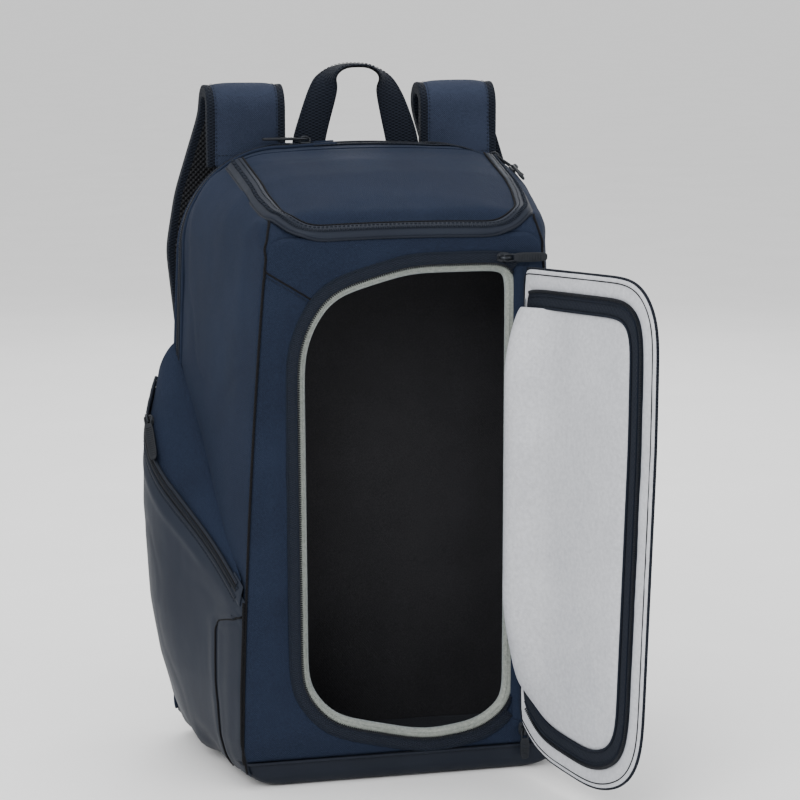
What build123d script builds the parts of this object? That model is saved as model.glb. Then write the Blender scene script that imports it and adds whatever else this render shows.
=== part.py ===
"""Racket backpack, standing on its base with its front door swung open.

Millimetres. +Z is up, the front faces -Y, the shoulder straps are at +Y, and the
origin is the middle of the base, on the surface that the bag stands on.
Left and right are as seen from the front.
"""

from build123d import *
from math import cos, radians, sin
import os

# ---------------------------------------------------------------- driving sizes
FRONT_Y = -92.0
BACK_Y = 85.0
WALL = 3.0
BOOT_TOP = 22.0
FOOT_RADIUS = 30.0
REACH = 400.0           # half size of the blocks that trim panels
SLIT = 0.4              # gap between a moving cover and what it closes on

# Front-view outline of the bag at four depths: half width at the foot, half way up and
# at the shoulder, height of the shoulder, half width of the flat top, height of the top.
STATIONS = {
    "front": (FRONT_Y, 135.0, 127.5, 113.0, 432.0, 97.0, 447.0),
    "brow": (-80.0, 137.0, 130.0, 116.0, 440.0, 98.0, 461.0),
    "crest": (50.0, 154.0, 151.0, 146.0, 425.0, 78.0, 502.0),
    "back": (BACK_Y, 161.0, 160.0, 153.0, 415.0, 50.0, 504.0),
}
SHOULDER_BULGE = 0.22   # rise of the shoulder arc over its chord, per chord length

# Front opening and its door
OPENING_RIGHT_X = 90.0
DOOR_HINGE_X = 95.0
DOOR_HINGE_Y = -96.5
DOOR_OPEN_DEG = 106.0   # from closed to the rest pose
DOOR_SKIN = 2.5
ZIP_TAPE_WIDTH = 9.0
BINDING_WIDTH = 5.0

# Lid of the top pocket
LID_HINGE_Y = 50.0
LID_FRONT_Z = 443.5
LID_BAND_WIDTH = 11.0
TRAY_FLOOR_Z = 428.0
TOP_PANEL_Z = 470.0     # the top strip starts above this height
SIDE_PANEL_X = 70.0     # side panels end this far off the middle, under the lid

# Racket compartment
DIVIDER_Y = 44.0
SLOT_FRONT_Y = 66.0
SLOT_REAR_Y = 81.0
SLOT_LEFT_X = -38.0
SLOT_RIGHT_X = 104.0

# Side pockets: the zip lies on a slope that climbs to the rear
POCKET_MOUTH_FRONT_Z = 157.0
POCKET_MOUTH_REAR_Z = 306.0
POCKET_WALL = 2.5
POCKET_ZIP_THICK = 3.0

# Straps and handle
STRAP_WIDTH = 68.0
STRAP_THICK = 12.0
STRAP_MESH_THICK = 2.5
STRAP_ROOT_Z = 500.0
STRAP_TOP_Z = 556.0
STRAP_ROOT_X = 92.0      # middle of each strap where it is sewn to the yoke
STRAP_TAIL_Z = 172.0
HANDLE_Y = 87.0
HANDLE_BASE_Z = 506.5
HANDLE_TOP_Z = 574.0
HANDLE_THICK = 4.0
HANDLE_BAR = 12.0       # height of the folded grip at the top of the handle


def save(piece, name):
    """Label a finished piece and write its STEP file."""
    piece.part.label = name
    export_step(piece.part, f"parts/{name}.step")


def block(x_low, x_high, y_low, y_high, z_low, z_high):
    """Trimming block between two corners."""
    middle = Pos((x_low + x_high) / 2, (y_low + y_high) / 2, (z_low + z_high) / 2)
    return middle * Box(x_high - x_low, y_high - y_low, z_high - z_low, mode=Mode.PRIVATE)


def station_sketch(station, inset):
    """Outline of the bag at one depth, drawn inset millimetres inside the skin."""
    depth, foot, side, shoulder, shoulder_z, top, top_z = station
    depth = max(FRONT_Y + inset, min(BACK_Y - inset, depth))
    foot_x, side_x, shoulder_x, top_x = foot - inset, side - inset, shoulder - inset, top - inset / 2
    low_z, high_z = inset, top_z - inset
    side_z = (FOOT_RADIUS + shoulder_z) / 2
    chord_x, chord_z = shoulder_x - top_x, high_z - shoulder_z
    bulge_x = (shoulder_x + top_x) / 2 + SHOULDER_BULGE * chord_z
    bulge_z = (shoulder_z + high_z) / 2 + SHOULDER_BULGE * chord_x
    corner = FOOT_RADIUS - inset
    corner_x = foot_x - corner * (1 - cos(radians(45)))
    corner_z = low_z + corner * (1 - cos(radians(45)))
    with BuildSketch(Plane.XZ.offset(-depth)) as outline:
        with BuildLine():
            Line((corner - foot_x, low_z), (foot_x - corner, low_z))
            Line((-top_x, high_z), (top_x, high_z))
            for sign in (1, -1):
                ThreePointArc(
                    (sign * (foot_x - corner), low_z),
                    (sign * corner_x, corner_z),
                    (sign * foot_x, FOOT_RADIUS),
                )
                ThreePointArc(
                    (sign * foot_x, FOOT_RADIUS), (sign * side_x, side_z), (sign * shoulder_x, shoulder_z)
                )
                ThreePointArc(
                    (sign * shoulder_x, shoulder_z), (sign * bulge_x, bulge_z), (sign * top_x, high_z)
                )
        make_face()
    return outline.sketch


def bag_volume(inset):
    """Everything inside the skin of the bag, shrunk by inset."""
    with BuildPart() as volume:
        for station in STATIONS.values():
            add(station_sketch(station, inset))
        loft(ruled=True)
    return volume.part


def bag_layer(outer_inset, inner_inset):
    """One layer of the wall, between two depths under the skin."""
    with BuildPart() as layer:
        add(bag_volume(outer_inset))
        add(bag_volume(inner_inset), mode=Mode.SUBTRACT)
    return layer.part


def lid_column(margin):
    """Upright column over the plan outline of the lid, grown by margin."""
    with BuildPart() as column:
        with BuildSketch(Plane.XY.offset(LID_FRONT_Z)):
            with BuildLine():
                half = [(0, FRONT_Y - margin - 1), (98 + margin, FRONT_Y - margin - 1)]
                half += [(109 + margin, -76), (114 + margin, -40)]
                half += [(117 + margin, LID_HINGE_Y), (0, LID_HINGE_Y)]
                Polyline(half)
                Polyline([(-x, y) for x, y in half])
            make_face()
        extrude(amount=REACH)
    return column.part


def opening_sketch(margin):
    """Front opening of the bag, grown by margin: a tall arch with a drooping lip."""
    right = OPENING_RIGHT_X
    corners = [(right, 58), (right, 422), (4, 422), (-64, 403), (-88, 362)]
    corners += [(-86, 80), (-62, 50), (18, 31), (66, 38)]
    radii = [8, 6, 60, 40, 60, 30, 30, 60, 30]
    with BuildSketch(Plane.XZ) as mouth:
        with BuildLine():
            FilletPolyline(corners, radius=radii, close=True)
        make_face()
        if margin:
            offset(amount=margin)
    return mouth.sketch


def opening_prism(margin, y_low, y_high):
    """Prism through the front wall with the outline of the opening."""
    with BuildPart() as prism:
        with BuildSketch(Plane.XZ.offset(-y_high)):
            add(opening_sketch(margin))
        extrude(amount=y_high - y_low)
    return prism.part


os.makedirs("parts", exist_ok=True)

# ---------------------------------------------------------------- shell of the bag
skin = bag_layer(0, WALL)
room = bag_volume(WALL)
above_boot = block(-REACH, REACH, -REACH, REACH, BOOT_TOP, 2 * REACH)
lid_clear = lid_column(SLIT)

# Rubbery boot: floor and a low wall all round
with BuildPart() as base_boot:
    add(skin)
    add(block(-REACH, REACH, -REACH, REACH, -1, BOOT_TOP), mode=Mode.INTERSECT)
save(base_boot, "base_boot")

# Front panel: the frame round the door opening
with BuildPart() as front_panel:
    add(skin)
    add(above_boot, mode=Mode.INTERSECT)
    add(block(-REACH, REACH, FRONT_Y - 1, FRONT_Y + WALL, 0, LID_FRONT_Z - SLIT), mode=Mode.INTERSECT)
    add(opening_prism(0, FRONT_Y - 1, FRONT_Y + WALL + 1), mode=Mode.SUBTRACT)
save(front_panel, "front_panel")

# Back panel
with BuildPart() as back_panel:
    add(skin)
    add(above_boot, mode=Mode.INTERSECT)
    add(block(-REACH, REACH, BACK_Y - WALL, BACK_Y + 1, 0, REACH + REACH), mode=Mode.INTERSECT)
save(back_panel, "back_panel")

# Side panels run up over the shoulders to the edge of the lid and the top strip
for side, sign in {"left": -1, "right": 1}.items():
    x_far, x_near = sorted((sign * REACH, sign * SIDE_PANEL_X))
    with BuildPart() as side_panel:
        add(skin)
        add(above_boot, mode=Mode.INTERSECT)
        side_block = block(x_far, x_near, FRONT_Y + WALL, BACK_Y - WALL, 0, 2 * REACH)
        add(side_block, mode=Mode.INTERSECT)
        add(lid_clear, mode=Mode.SUBTRACT)
        add(block(-REACH, REACH, LID_HINGE_Y - 1, BACK_Y, TOP_PANEL_Z, 2 * REACH), mode=Mode.SUBTRACT)
    save(side_panel, f"side_panel_{side}")

# Top strip between the lid and the back panel, slit open where the racket goes in
with BuildPart() as top_strip:
    add(skin)
    strip_block = block(-REACH, REACH, LID_HINGE_Y + SLIT, BACK_Y - WALL, TOP_PANEL_Z, 2 * REACH)
    add(strip_block, mode=Mode.INTERSECT)
    slot_block = block(SLOT_LEFT_X, SLOT_RIGHT_X, SLOT_FRONT_Y, SLOT_REAR_Y, 0, 2 * REACH)
    add(slot_block, mode=Mode.SUBTRACT)
save(top_strip, "top_strip")

# ---------------------------------------------------------------- lid of the top pocket
lid_edge = lid_column(0)
lid_middle = lid_column(-LID_BAND_WIDTH)
lid_front = block(-REACH, REACH, -REACH, REACH, LID_FRONT_Z + LID_BAND_WIDTH, 2 * REACH)

# Domed fabric panel
with BuildPart() as lid_panel:
    add(skin)
    add(lid_middle, mode=Mode.INTERSECT)
    add(lid_front, mode=Mode.INTERSECT)
save(lid_panel, "lid_panel")

# Coated band round the front and the sides
with BuildPart() as lid_band:
    add(skin)
    add(lid_edge, mode=Mode.INTERSECT)
    add(lid_panel.part, mode=Mode.SUBTRACT)
save(lid_band, "lid_band")

# Soft lining under the lid
with BuildPart() as lid_lining:
    add(bag_layer(WALL, WALL + 1.2))
    add(lid_middle, mode=Mode.INTERSECT)
    add(lid_front, mode=Mode.INTERSECT)
save(lid_lining, "lid_lining")

# ---------------------------------------------------------------- inside the bag
LINING_THICK = 1.0
BOARD_THICK = 2.0
LINING_FOOT_Z = WALL + SLIT + BOARD_THICK
SLEEVE_INSET = WALL + LINING_THICK

# Tray of the top pocket: an open box hung under the lid
TRAY_HALF_X = 94.0
TRAY_WALL = 1.5
TRAY_RIM_DROP = 9.0     # the rim stays this far under the skin, clear of the lid
with BuildPart() as top_pocket_tray:
    add(bag_volume(TRAY_RIM_DROP))
    tray_block = block(-TRAY_HALF_X, TRAY_HALF_X, -82, DIVIDER_Y - 1, TRAY_FLOOR_Z, 2 * REACH)
    add(tray_block, mode=Mode.INTERSECT)
    tray_room = block(
        TRAY_WALL - TRAY_HALF_X,
        TRAY_HALF_X - TRAY_WALL,
        TRAY_WALL - 82,
        DIVIDER_Y - 1 - TRAY_WALL,
        TRAY_FLOOR_Z + TRAY_WALL,
        2 * REACH,
    )
    add(tray_room, mode=Mode.SUBTRACT)
save(top_pocket_tray, "top_pocket_tray")

# Pale sleeve that lines the walls of the front compartment
with BuildPart() as compartment_lining:
    add(bag_layer(WALL, SLEEVE_INSET))
    sleeve_block = block(-REACH, REACH, FRONT_Y + 2 * WALL, DIVIDER_Y, LINING_FOOT_Z, TRAY_FLOOR_Z - 1)
    add(sleeve_block, mode=Mode.INTERSECT)
save(compartment_lining, "compartment_lining")

# Divider between the front compartment and the racket compartment
with BuildPart() as divider:
    add(bag_volume(SLEEVE_INSET + SLIT))
    add(block(-REACH, REACH, DIVIDER_Y, DIVIDER_Y + 2, LINING_FOOT_Z, 484), mode=Mode.INTERSECT)
save(divider, "compartment_divider")

# Stiff board on the floor of the boot
with BuildPart() as base_board:
    with BuildSketch(Plane.XY.offset(WALL)):
        with BuildLine():
            board_front, board_rear = FRONT_Y + 8, BACK_Y - 8
            front_pair = [(-100, board_front), (100, board_front)]
            rear_pair = [(124, board_rear), (-124, board_rear)]
            Polyline(front_pair + rear_pair, close=True)
        make_face()
        fillet(vertices(), 12)
    extrude(amount=BOARD_THICK)
save(base_board, "base_board")

# Stiffening sheet behind the back panel's lining
with BuildPart() as back_board:
    with BuildSketch(Plane.XZ.offset(WALL - BACK_Y)):
        with Locations((0, 250)):
            RectangleRounded(250, 420, 40)
    extrude(amount=BOARD_THICK)
save(back_board, "back_board")

# ---------------------------------------------------------------- front opening trim
TRIM_THICK = 1.0

# Pale binding inside the edge of the opening
with BuildPart() as opening_binding:
    add(opening_prism(BINDING_WIDTH, FRONT_Y + WALL, FRONT_Y + WALL + 2))
    add(opening_prism(0, FRONT_Y, FRONT_Y + 3 * WALL), mode=Mode.SUBTRACT)
    add(room, mode=Mode.INTERSECT)
save(opening_binding, "opening_binding")

# Zip tape sewn on the panel round three sides of the opening
with BuildPart() as door_zip_outer:
    add(opening_prism(ZIP_TAPE_WIDTH, FRONT_Y - TRIM_THICK, FRONT_Y))
    add(opening_prism(0, FRONT_Y - 2 * WALL, FRONT_Y + WALL), mode=Mode.SUBTRACT)
    hinge_side = block(OPENING_RIGHT_X - SLIT, REACH, -REACH, REACH, 46, 420)
    add(hinge_side, mode=Mode.SUBTRACT)
save(door_zip_outer, "door_zip_outer")

# Hinge tape: the strip of fabric that the door folds on
with BuildPart() as door_hinge_tape:
    add(block(OPENING_RIGHT_X, DOOR_HINGE_X - 1, FRONT_Y - TRIM_THICK, FRONT_Y, 50, 418))
save(door_hinge_tape, "door_hinge_tape")

# ---------------------------------------------------------------- door
DOOR_DIR = Vector(-cos(radians(DOOR_OPEN_DEG)), -sin(radians(DOOR_OPEN_DEG)), 0)
DOOR_INNER = Vector(DOOR_DIR.Y, -DOOR_DIR.X, 0)
DOOR_TAPE_INSET = 17.0  # pale rim between the edge of the door and its zip
PIPING = 2.0


def door_plane(height):
    """Plane of the open door, height millimetres towards its lining side."""
    hinge = Vector(DOOR_HINGE_X, DOOR_HINGE_Y, 0)
    return Plane(origin=hinge + DOOR_INNER * height, x_dir=DOOR_DIR, z_dir=DOOR_INNER)


def door_sheet(inset, height, thick):
    """Sheet with the door's outline, x measured from the hinge, drawn inset inside its edge."""
    with BuildPart() as sheet:
        with BuildSketch(door_plane(height)) as outline:
            with BuildLine():
                corners = [(3, 44), (3, 419), (162, 427), (185, 400), (184, 300)]
                corners += [(166, 60), (148, 34), (108, 15.5), (28, 24)]
                radii = [3, 3, 20, 25, 400, 30, 40, 40, 12]
                FilletPolyline(corners, radius=radii, close=True)
            make_face()
            if inset:
                offset(amount=-inset)
        extrude(amount=thick)
    return sheet.part


# Outer fabric of the door
with BuildPart() as door_panel:
    add(door_sheet(PIPING, -DOOR_SKIN / 2, DOOR_SKIN))
save(door_panel, "door_panel")

# Dark piping round the edge
with BuildPart() as door_piping:
    add(door_sheet(0, -DOOR_SKIN / 2, DOOR_SKIN))
    add(door_sheet(PIPING, -DOOR_SKIN, 2 * DOOR_SKIN), mode=Mode.SUBTRACT)
save(door_piping, "door_piping")

# Pale gusset between the piping and the zip
with BuildPart() as door_gusset:
    add(door_sheet(PIPING, DOOR_SKIN / 2, TRIM_THICK))
    add(door_sheet(DOOR_TAPE_INSET, 0, 2 * DOOR_SKIN), mode=Mode.SUBTRACT)
save(door_gusset, "door_gusset")

# Zip tape round the lining
with BuildPart() as door_zip_inner:
    add(door_sheet(DOOR_TAPE_INSET, DOOR_SKIN / 2, TRIM_THICK))
    add(door_sheet(DOOR_TAPE_INSET + ZIP_TAPE_WIDTH, 0, 2 * DOOR_SKIN), mode=Mode.SUBTRACT)
save(door_zip_inner, "door_zip_inner")

# Pale lining panel
with BuildPart() as door_lining:
    add(door_sheet(DOOR_TAPE_INSET + ZIP_TAPE_WIDTH, DOOR_SKIN / 2, TRIM_THICK))
save(door_lining, "door_lining")

# ---------------------------------------------------------------- side pockets
# Plan outline of a pocket at six heights: x at the front seam, at the facet's corner,
# over the bulge and at the rear seam.
POCKET_LEVELS = {
    8.0: (133.0, 140.0, 149.0, 151.0),
    40.0: (135.5, 147.0, 164.0, 163.0),
    84.0: (135.0, 150.0, 176.0, 169.0),
    134.0: (133.5, 151.0, 184.0, 171.0),
    215.0: (131.0, 153.0, 190.5, 173.0),
    312.0: (126.0, 151.0, 189.0, 172.0),
}
POCKET_INNER_X = 100.0
FACET_Y, BULGE_FRONT_Y, BULGE_REAR_Y = -45.0, 15.0, 55.0


def pocket_volume(sign, inset):
    """Bulging pocket, run into the bag, with its outer faces drawn inset."""
    with BuildPart() as volume:
        for height, (seam, facet, bulge, rear) in POCKET_LEVELS.items():
            level = height + inset if height < BOOT_TOP else height
            with BuildSketch(Plane.XY.offset(level)):
                with BuildLine():
                    corners = [
                        (POCKET_INNER_X, FRONT_Y + WALL + inset),
                        (seam - inset, FRONT_Y + WALL + inset),
                        (facet - inset, FACET_Y),
                        (bulge - inset, BULGE_FRONT_Y),
                        (bulge - inset, BULGE_REAR_Y),
                        (rear - inset, BACK_Y - inset),
                        (POCKET_INNER_X, BACK_Y - inset),
                    ]
                    Polyline([(sign * x, y) for x, y in corners], close=True)
                make_face()
        loft(ruled=True)
    return volume.part


def under_mouth(rise):
    """Everything below the slope of the pocket zip, raised by rise."""
    front, rear = (FRONT_Y, POCKET_MOUTH_FRONT_Z + rise), (BACK_Y, POCKET_MOUTH_REAR_Z + rise)
    with BuildPart() as wedge:
        with BuildSketch(Plane.YZ.offset(-REACH)):
            with BuildLine():
                Polyline([front, rear, (BACK_Y, -1), (FRONT_Y, -1)], close=True)
            make_face()
        extrude(amount=2 * REACH)
    return wedge.part


bag_outside = bag_volume(0)
mouth_below, mouth_above = under_mouth(0), under_mouth(POCKET_ZIP_THICK)

for side, sign in {"left": -1, "right": 1}.items():
    with BuildPart() as side_pocket:
        add(pocket_volume(sign, 0))
        add(pocket_volume(sign, POCKET_WALL), mode=Mode.SUBTRACT)
        add(bag_outside, mode=Mode.SUBTRACT)
        add(mouth_below, mode=Mode.INTERSECT)
    save(side_pocket, f"side_pocket_{side}")

    with BuildPart() as side_zip:
        add(pocket_volume(sign, 0))
        add(mouth_above, mode=Mode.INTERSECT)
        add(mouth_below, mode=Mode.SUBTRACT)
        add(bag_outside, mode=Mode.SUBTRACT)
    save(side_zip, f"side_zip_{side}")

# ---------------------------------------------------------------- back of the bag
PAD_THICK = 10.0
YOKE_THICK = 2.0


def rear_plane(near_y, thick):
    """Plane whose extrusion by thick fills from near_y to the rear."""
    return Plane.XZ.offset(-(near_y + thick))


for side, sign in {"left": -1, "right": 1}.items():
    with BuildPart() as back_pad:
        with BuildSketch(rear_plane(BACK_Y, PAD_THICK)):
            with Locations((sign * 62, 300)):
                RectangleRounded(92, 290, 30)
        extrude(amount=PAD_THICK)
        fillet(back_pad.faces().sort_by(Axis.Y)[-1].edges(), 5)
    save(back_pad, f"back_pad_{side}")

with BuildPart() as lumbar_pad:
    with BuildSketch(rear_plane(BACK_Y, PAD_THICK)):
        with Locations((0, 100)):
            RectangleRounded(180, 84, 26)
    extrude(amount=PAD_THICK)
    fillet(lumbar_pad.faces().sort_by(Axis.Y)[-1].edges(), 5)
save(lumbar_pad, "lumbar_pad")

# Yoke that straps and handle are sewn to
with BuildPart() as yoke:
    with BuildSketch(rear_plane(BACK_Y, YOKE_THICK)):
        with Locations((0, 472)):
            RectangleRounded(210, 40, 8)
    extrude(amount=YOKE_THICK)
    add(block(-REACH, REACH, 0, REACH, 0, 492), mode=Mode.INTERSECT)
save(yoke, "yoke")


# Rear zip: two tapes over the shoulders, and one along each lip of the racket slot
proud_trim = bag_layer(-TRIM_THICK, 0)
ZIP_FRONT_Y, ZIP_REAR_Y = 70.0, 79.0
ZIP_END_Z = 300.0
SLOT_TAPE_WIDTH = 5.0
pocket_zips = under_mouth(POCKET_ZIP_THICK + 1)
SHOULDER_SPANS = {"left": (-REACH, SLOT_LEFT_X), "right": (SLOT_RIGHT_X, REACH)}
for side, (x_low, x_high) in SHOULDER_SPANS.items():
    with BuildPart() as rear_zip:
        add(proud_trim)
        add(block(x_low, x_high, ZIP_FRONT_Y, ZIP_REAR_Y, ZIP_END_Z, 2 * REACH), mode=Mode.INTERSECT)
        add(pocket_zips, mode=Mode.SUBTRACT)
    save(rear_zip, f"rear_zip_{side}")

with BuildPart() as slot_tapes:
    add(proud_trim)
    border_front, border_rear = SLOT_FRONT_Y - SLOT_TAPE_WIDTH, SLOT_REAR_Y + SLOT_TAPE_WIDTH
    slot_border = block(SLOT_LEFT_X, SLOT_RIGHT_X, border_front, border_rear, TOP_PANEL_Z, 2 * REACH)
    add(slot_border, mode=Mode.INTERSECT)
    add(slot_block, mode=Mode.SUBTRACT)
save(slot_tapes, "slot_tapes")

# ---------------------------------------------------------------- grab handle
with BuildPart() as grab_handle:
    with BuildSketch(rear_plane(HANDLE_Y - HANDLE_THICK / 2, HANDLE_THICK)):
        with BuildLine():
            Polyline([(-56, HANDLE_BASE_Z), (-27, HANDLE_TOP_Z), (28, HANDLE_TOP_Z), (56, HANDLE_BASE_Z)])
            Line((56, HANDLE_BASE_Z), (25, HANDLE_BASE_Z))
            Polyline([(25, HANDLE_BASE_Z), (15, HANDLE_TOP_Z - HANDLE_BAR), (-14, HANDLE_TOP_Z - HANDLE_BAR)])
            Polyline([(-14, HANDLE_TOP_Z - HANDLE_BAR), (-24, HANDLE_BASE_Z), (-56, HANDLE_BASE_Z)])
        make_face()
    extrude(amount=HANDLE_THICK)
    with BuildSketch(Plane.YZ.offset(-20)):
        with Locations((HANDLE_Y, HANDLE_TOP_Z - HANDLE_BAR / 2)):
            RectangleRounded(26, HANDLE_BAR, 5)
    extrude(amount=40)
save(grab_handle, "grab_handle")

# ---------------------------------------------------------------- shoulder straps
HAIRPIN_Y = 110.0
HAIRPIN_OUTER = 20.0
HAIRPIN_INNER = HAIRPIN_OUTER - STRAP_THICK
HAIRPIN_SPLIT = HAIRPIN_INNER + STRAP_MESH_THICK
HAIRPIN_Z = STRAP_TOP_Z - HAIRPIN_OUTER
RUN_TOP_Z = 528.0
LOCK_PIN_Z = 163.0
LOCK_PIN_RADIUS = 2.0
LOCK_X = 115.0
LOCK_THICK = 4.0
LOOP_WIDTH = 22.0
WEBBING_X, WEBBING_WIDTH, WEBBING_THICK = 122.0, 25.0, 2.0
LOCK_Y = HAIRPIN_Y + HAIRPIN_OUTER - STRAP_THICK / 2


def hairpin(sign, outer, inner):
    """Bend of a strap over its top, from its root on the yoke, between two radii."""
    with BuildPart() as bend:
        with BuildSketch(Plane.YZ.offset(sign * STRAP_ROOT_X - STRAP_WIDTH / 2)):
            with BuildLine():
                for radius in (outer, inner):
                    Line((HAIRPIN_Y - radius, STRAP_ROOT_Z + 2), (HAIRPIN_Y - radius, HAIRPIN_Z))
                    CenterArc((HAIRPIN_Y, HAIRPIN_Z), radius, 0, 180)
                    Line((HAIRPIN_Y + radius, HAIRPIN_Z), (HAIRPIN_Y + radius, RUN_TOP_Z))
                Line((HAIRPIN_Y - outer, STRAP_ROOT_Z + 2), (HAIRPIN_Y - inner, STRAP_ROOT_Z + 2))
                Line((HAIRPIN_Y + outer, RUN_TOP_Z), (HAIRPIN_Y + inner, RUN_TOP_Z))
            make_face()
        extrude(amount=STRAP_WIDTH)
    return bend.part


def strap_run(sign, near_y, far_y, margin):
    """Long curved run of a strap behind the bag, between two depths."""
    outer_edge = [(126, RUN_TOP_Z + 4), (150, 462), (158, 415), (150, 340), (136, 240), (132, STRAP_TAIL_Z)]
    inner_edge = [(98, STRAP_TAIL_Z), (92, 240), (86, 340), (88, 415), (80, 462), (58, RUN_TOP_Z + 4)]
    with BuildPart() as run:
        with BuildSketch(rear_plane(near_y, far_y - near_y)):
            with BuildLine():
                Polyline([(sign * x, z) for x, z in outer_edge + inner_edge], close=True)
            make_face()
            if margin:
                offset(amount=margin)
        extrude(amount=far_y - near_y)
    return run.part


for side, sign in {"left": -1, "right": 1}.items():
    rear_face = HAIRPIN_Y + HAIRPIN_OUTER
    with BuildPart() as strap_pad:
        add(strap_run(sign, HAIRPIN_Y + HAIRPIN_SPLIT, rear_face, 0))
        add(hairpin(sign, HAIRPIN_OUTER, HAIRPIN_SPLIT))
    save(strap_pad, f"strap_pad_{side}")

    with BuildPart() as strap_mesh:
        add(strap_run(sign, HAIRPIN_Y + HAIRPIN_INNER, HAIRPIN_Y + HAIRPIN_SPLIT, 0))
        add(hairpin(sign, HAIRPIN_SPLIT, HAIRPIN_INNER))
    save(strap_mesh, f"strap_mesh_{side}")

    # Webbing loop that holds the ladder lock on the end of the strap
    with BuildPart() as lock_loop:
        with BuildSketch(Plane.YZ.offset(sign * LOCK_X - LOOP_WIDTH / 2)):
            with Locations((LOCK_Y, LOCK_PIN_Z)):
                Circle(LOCK_PIN_RADIUS + 1.8)
            with Locations((LOCK_Y, (LOCK_PIN_Z + STRAP_TAIL_Z) / 2)):
                Rectangle(2.4, STRAP_TAIL_Z - LOCK_PIN_Z)
            with Locations((LOCK_Y, LOCK_PIN_Z)):
                Circle(LOCK_PIN_RADIUS + 0.1, mode=Mode.SUBTRACT)
        extrude(amount=LOOP_WIDTH)
    save(lock_loop, f"lock_loop_{side}")

    # Ladder lock: cheeks, a round top bar in the loop and two webbing bars
    with BuildPart() as ladder_lock:
        with BuildSketch(rear_plane(LOCK_Y - LOCK_THICK / 2, LOCK_THICK)):
            with Locations((sign * LOCK_X, LOCK_PIN_Z - 16)):
                RectangleRounded(34, 38, 3)
            with Locations((sign * LOCK_X, LOCK_PIN_Z + 1)):
                Rectangle(26, 16, mode=Mode.SUBTRACT)
            with Locations((sign * LOCK_X, LOCK_PIN_Z - 15), (sign * LOCK_X, LOCK_PIN_Z - 26)):
                RectangleRounded(27, 5, 1, mode=Mode.SUBTRACT)
        extrude(amount=LOCK_THICK)
        with BuildSketch(Plane.YZ.offset(sign * LOCK_X - 15)):
            with Locations((LOCK_Y, LOCK_PIN_Z)):
                Circle(LOCK_PIN_RADIUS)
        extrude(amount=30)
    save(ladder_lock, f"ladder_lock_{side}")

    # Anchor tab in the bottom corner, and the webbing that runs up from it
    with BuildPart() as strap_anchor:
        with BuildSketch(rear_plane(BACK_Y, WEBBING_THICK)):
            with BuildLine():
                Polyline([(sign * x, z) for x, z in [(154, 30), (154, 76), (116, 66), (116, 40)]], close=True)
            make_face()
        extrude(amount=WEBBING_THICK)
    save(strap_anchor, f"strap_anchor_{side}")

    with BuildPart() as lower_webbing:
        with BuildSketch(Plane.YZ.offset(sign * WEBBING_X - WEBBING_WIDTH / 2)):
            with BuildLine():
                near, far = BACK_Y + WEBBING_THICK, LOCK_Y - WEBBING_THICK
                edge = near + WEBBING_THICK
                rear_edge = [(edge, 42), (edge, 64), (LOCK_Y, 96), (LOCK_Y, 118)]
                front_edge = [(far, 118), (far, 97), (near, 65.5), (near, 42)]
                Polyline(rear_edge + front_edge, close=True)
            make_face()
        extrude(amount=WEBBING_WIDTH)
    save(lower_webbing, f"lower_webbing_{side}")

# ---------------------------------------------------------------- zip sliders and pulls
SLIDER_LIFT = 0.5
SLIDER_THICK = 3.0
PIN_HEIGHT = 5.6
PIN_RADIUS = 0.7
EYE_RADIUS = 1.6
LUG_INNER = 2.7
TAPE_TOP = TRIM_THICK + SLIDER_LIFT

# Seat on the tape, direction that the pull lies in, outward normal, length of the pull
SLIDERS = {
    "door_top": ((80, FRONT_Y, 427), (1, 0, 0), (0, -1, 0), 32),
    "door_bottom": ((99, FRONT_Y, 36), (0, 0, -1), (0, -1, 0), 22),
    "rear_left": ((-46, 73.5, 504), (-1, 0, 0), (0, 0, 1), 34),
    "rear_right": ((116.6, 73.5, 488.2), (0.81, 0, -0.586), (0.586, 0, 0.81), 28),
    "lid": ((123.5, 42, 481.5), (-0.046, -0.963, -0.263), (0.69, -0.22, 0.69), 24),
    "side_left": ((-184.5, 48, 279.5), (0, -0.765, -0.644), (-0.45, -0.575, 0.683), 42),
    "side_right": ((184.5, 48, 279.5), (0, -0.765, -0.644), (0.45, -0.575, 0.683), 42),
}


def seat_plane(seat, along, normal, height):
    """Plane of a slider: x along its pull, z out of the zip, height above the tape."""
    flat = Plane(origin=seat, x_dir=along, z_dir=normal)
    return flat.offset(TAPE_TOP + height)


for name, (seat, along, normal, pull_length) in SLIDERS.items():
    pin_plane = seat_plane(seat, along, normal, PIN_HEIGHT)
    cross_plane = Plane(origin=pin_plane.origin, x_dir=pin_plane.x_dir, z_dir=pin_plane.y_dir)
    with BuildPart() as slider:
        with BuildSketch(seat_plane(seat, along, normal, 0)):
            RectangleRounded(11, 8, 2.5)
        extrude(amount=SLIDER_THICK)
        with BuildSketch(seat_plane(seat, along, normal, SLIDER_THICK)):
            with Locations((0, LUG_INNER + 0.6), (0, -LUG_INNER - 0.6)):
                Rectangle(3, 1.2)
        extrude(amount=PIN_HEIGHT - SLIDER_THICK + 1)
        with BuildSketch(cross_plane):
            Circle(PIN_RADIUS)
        extrude(amount=LUG_INNER + 0.6, both=True)
    save(slider, f"{name}_slider")

    with BuildPart() as pull:
        with BuildSketch(cross_plane):
            Circle(EYE_RADIUS)
            with Locations((3, 0)):
                Rectangle(6, 1.4)
            Circle(PIN_RADIUS + 0.1, mode=Mode.SUBTRACT)
        extrude(amount=LUG_INNER - 0.4, both=True)
        with BuildSketch(pin_plane.offset(-0.7)):
            with Locations((5 + pull_length / 2 - 2, 0)):
                RectangleRounded(pull_length - 5, 8, 2)
        extrude(amount=1.4)
    save(pull, f"{name}_pull")
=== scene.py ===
import math

import bpy
import numpy as np
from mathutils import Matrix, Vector, noise
from mathutils.bvhtree import BVHTree


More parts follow.
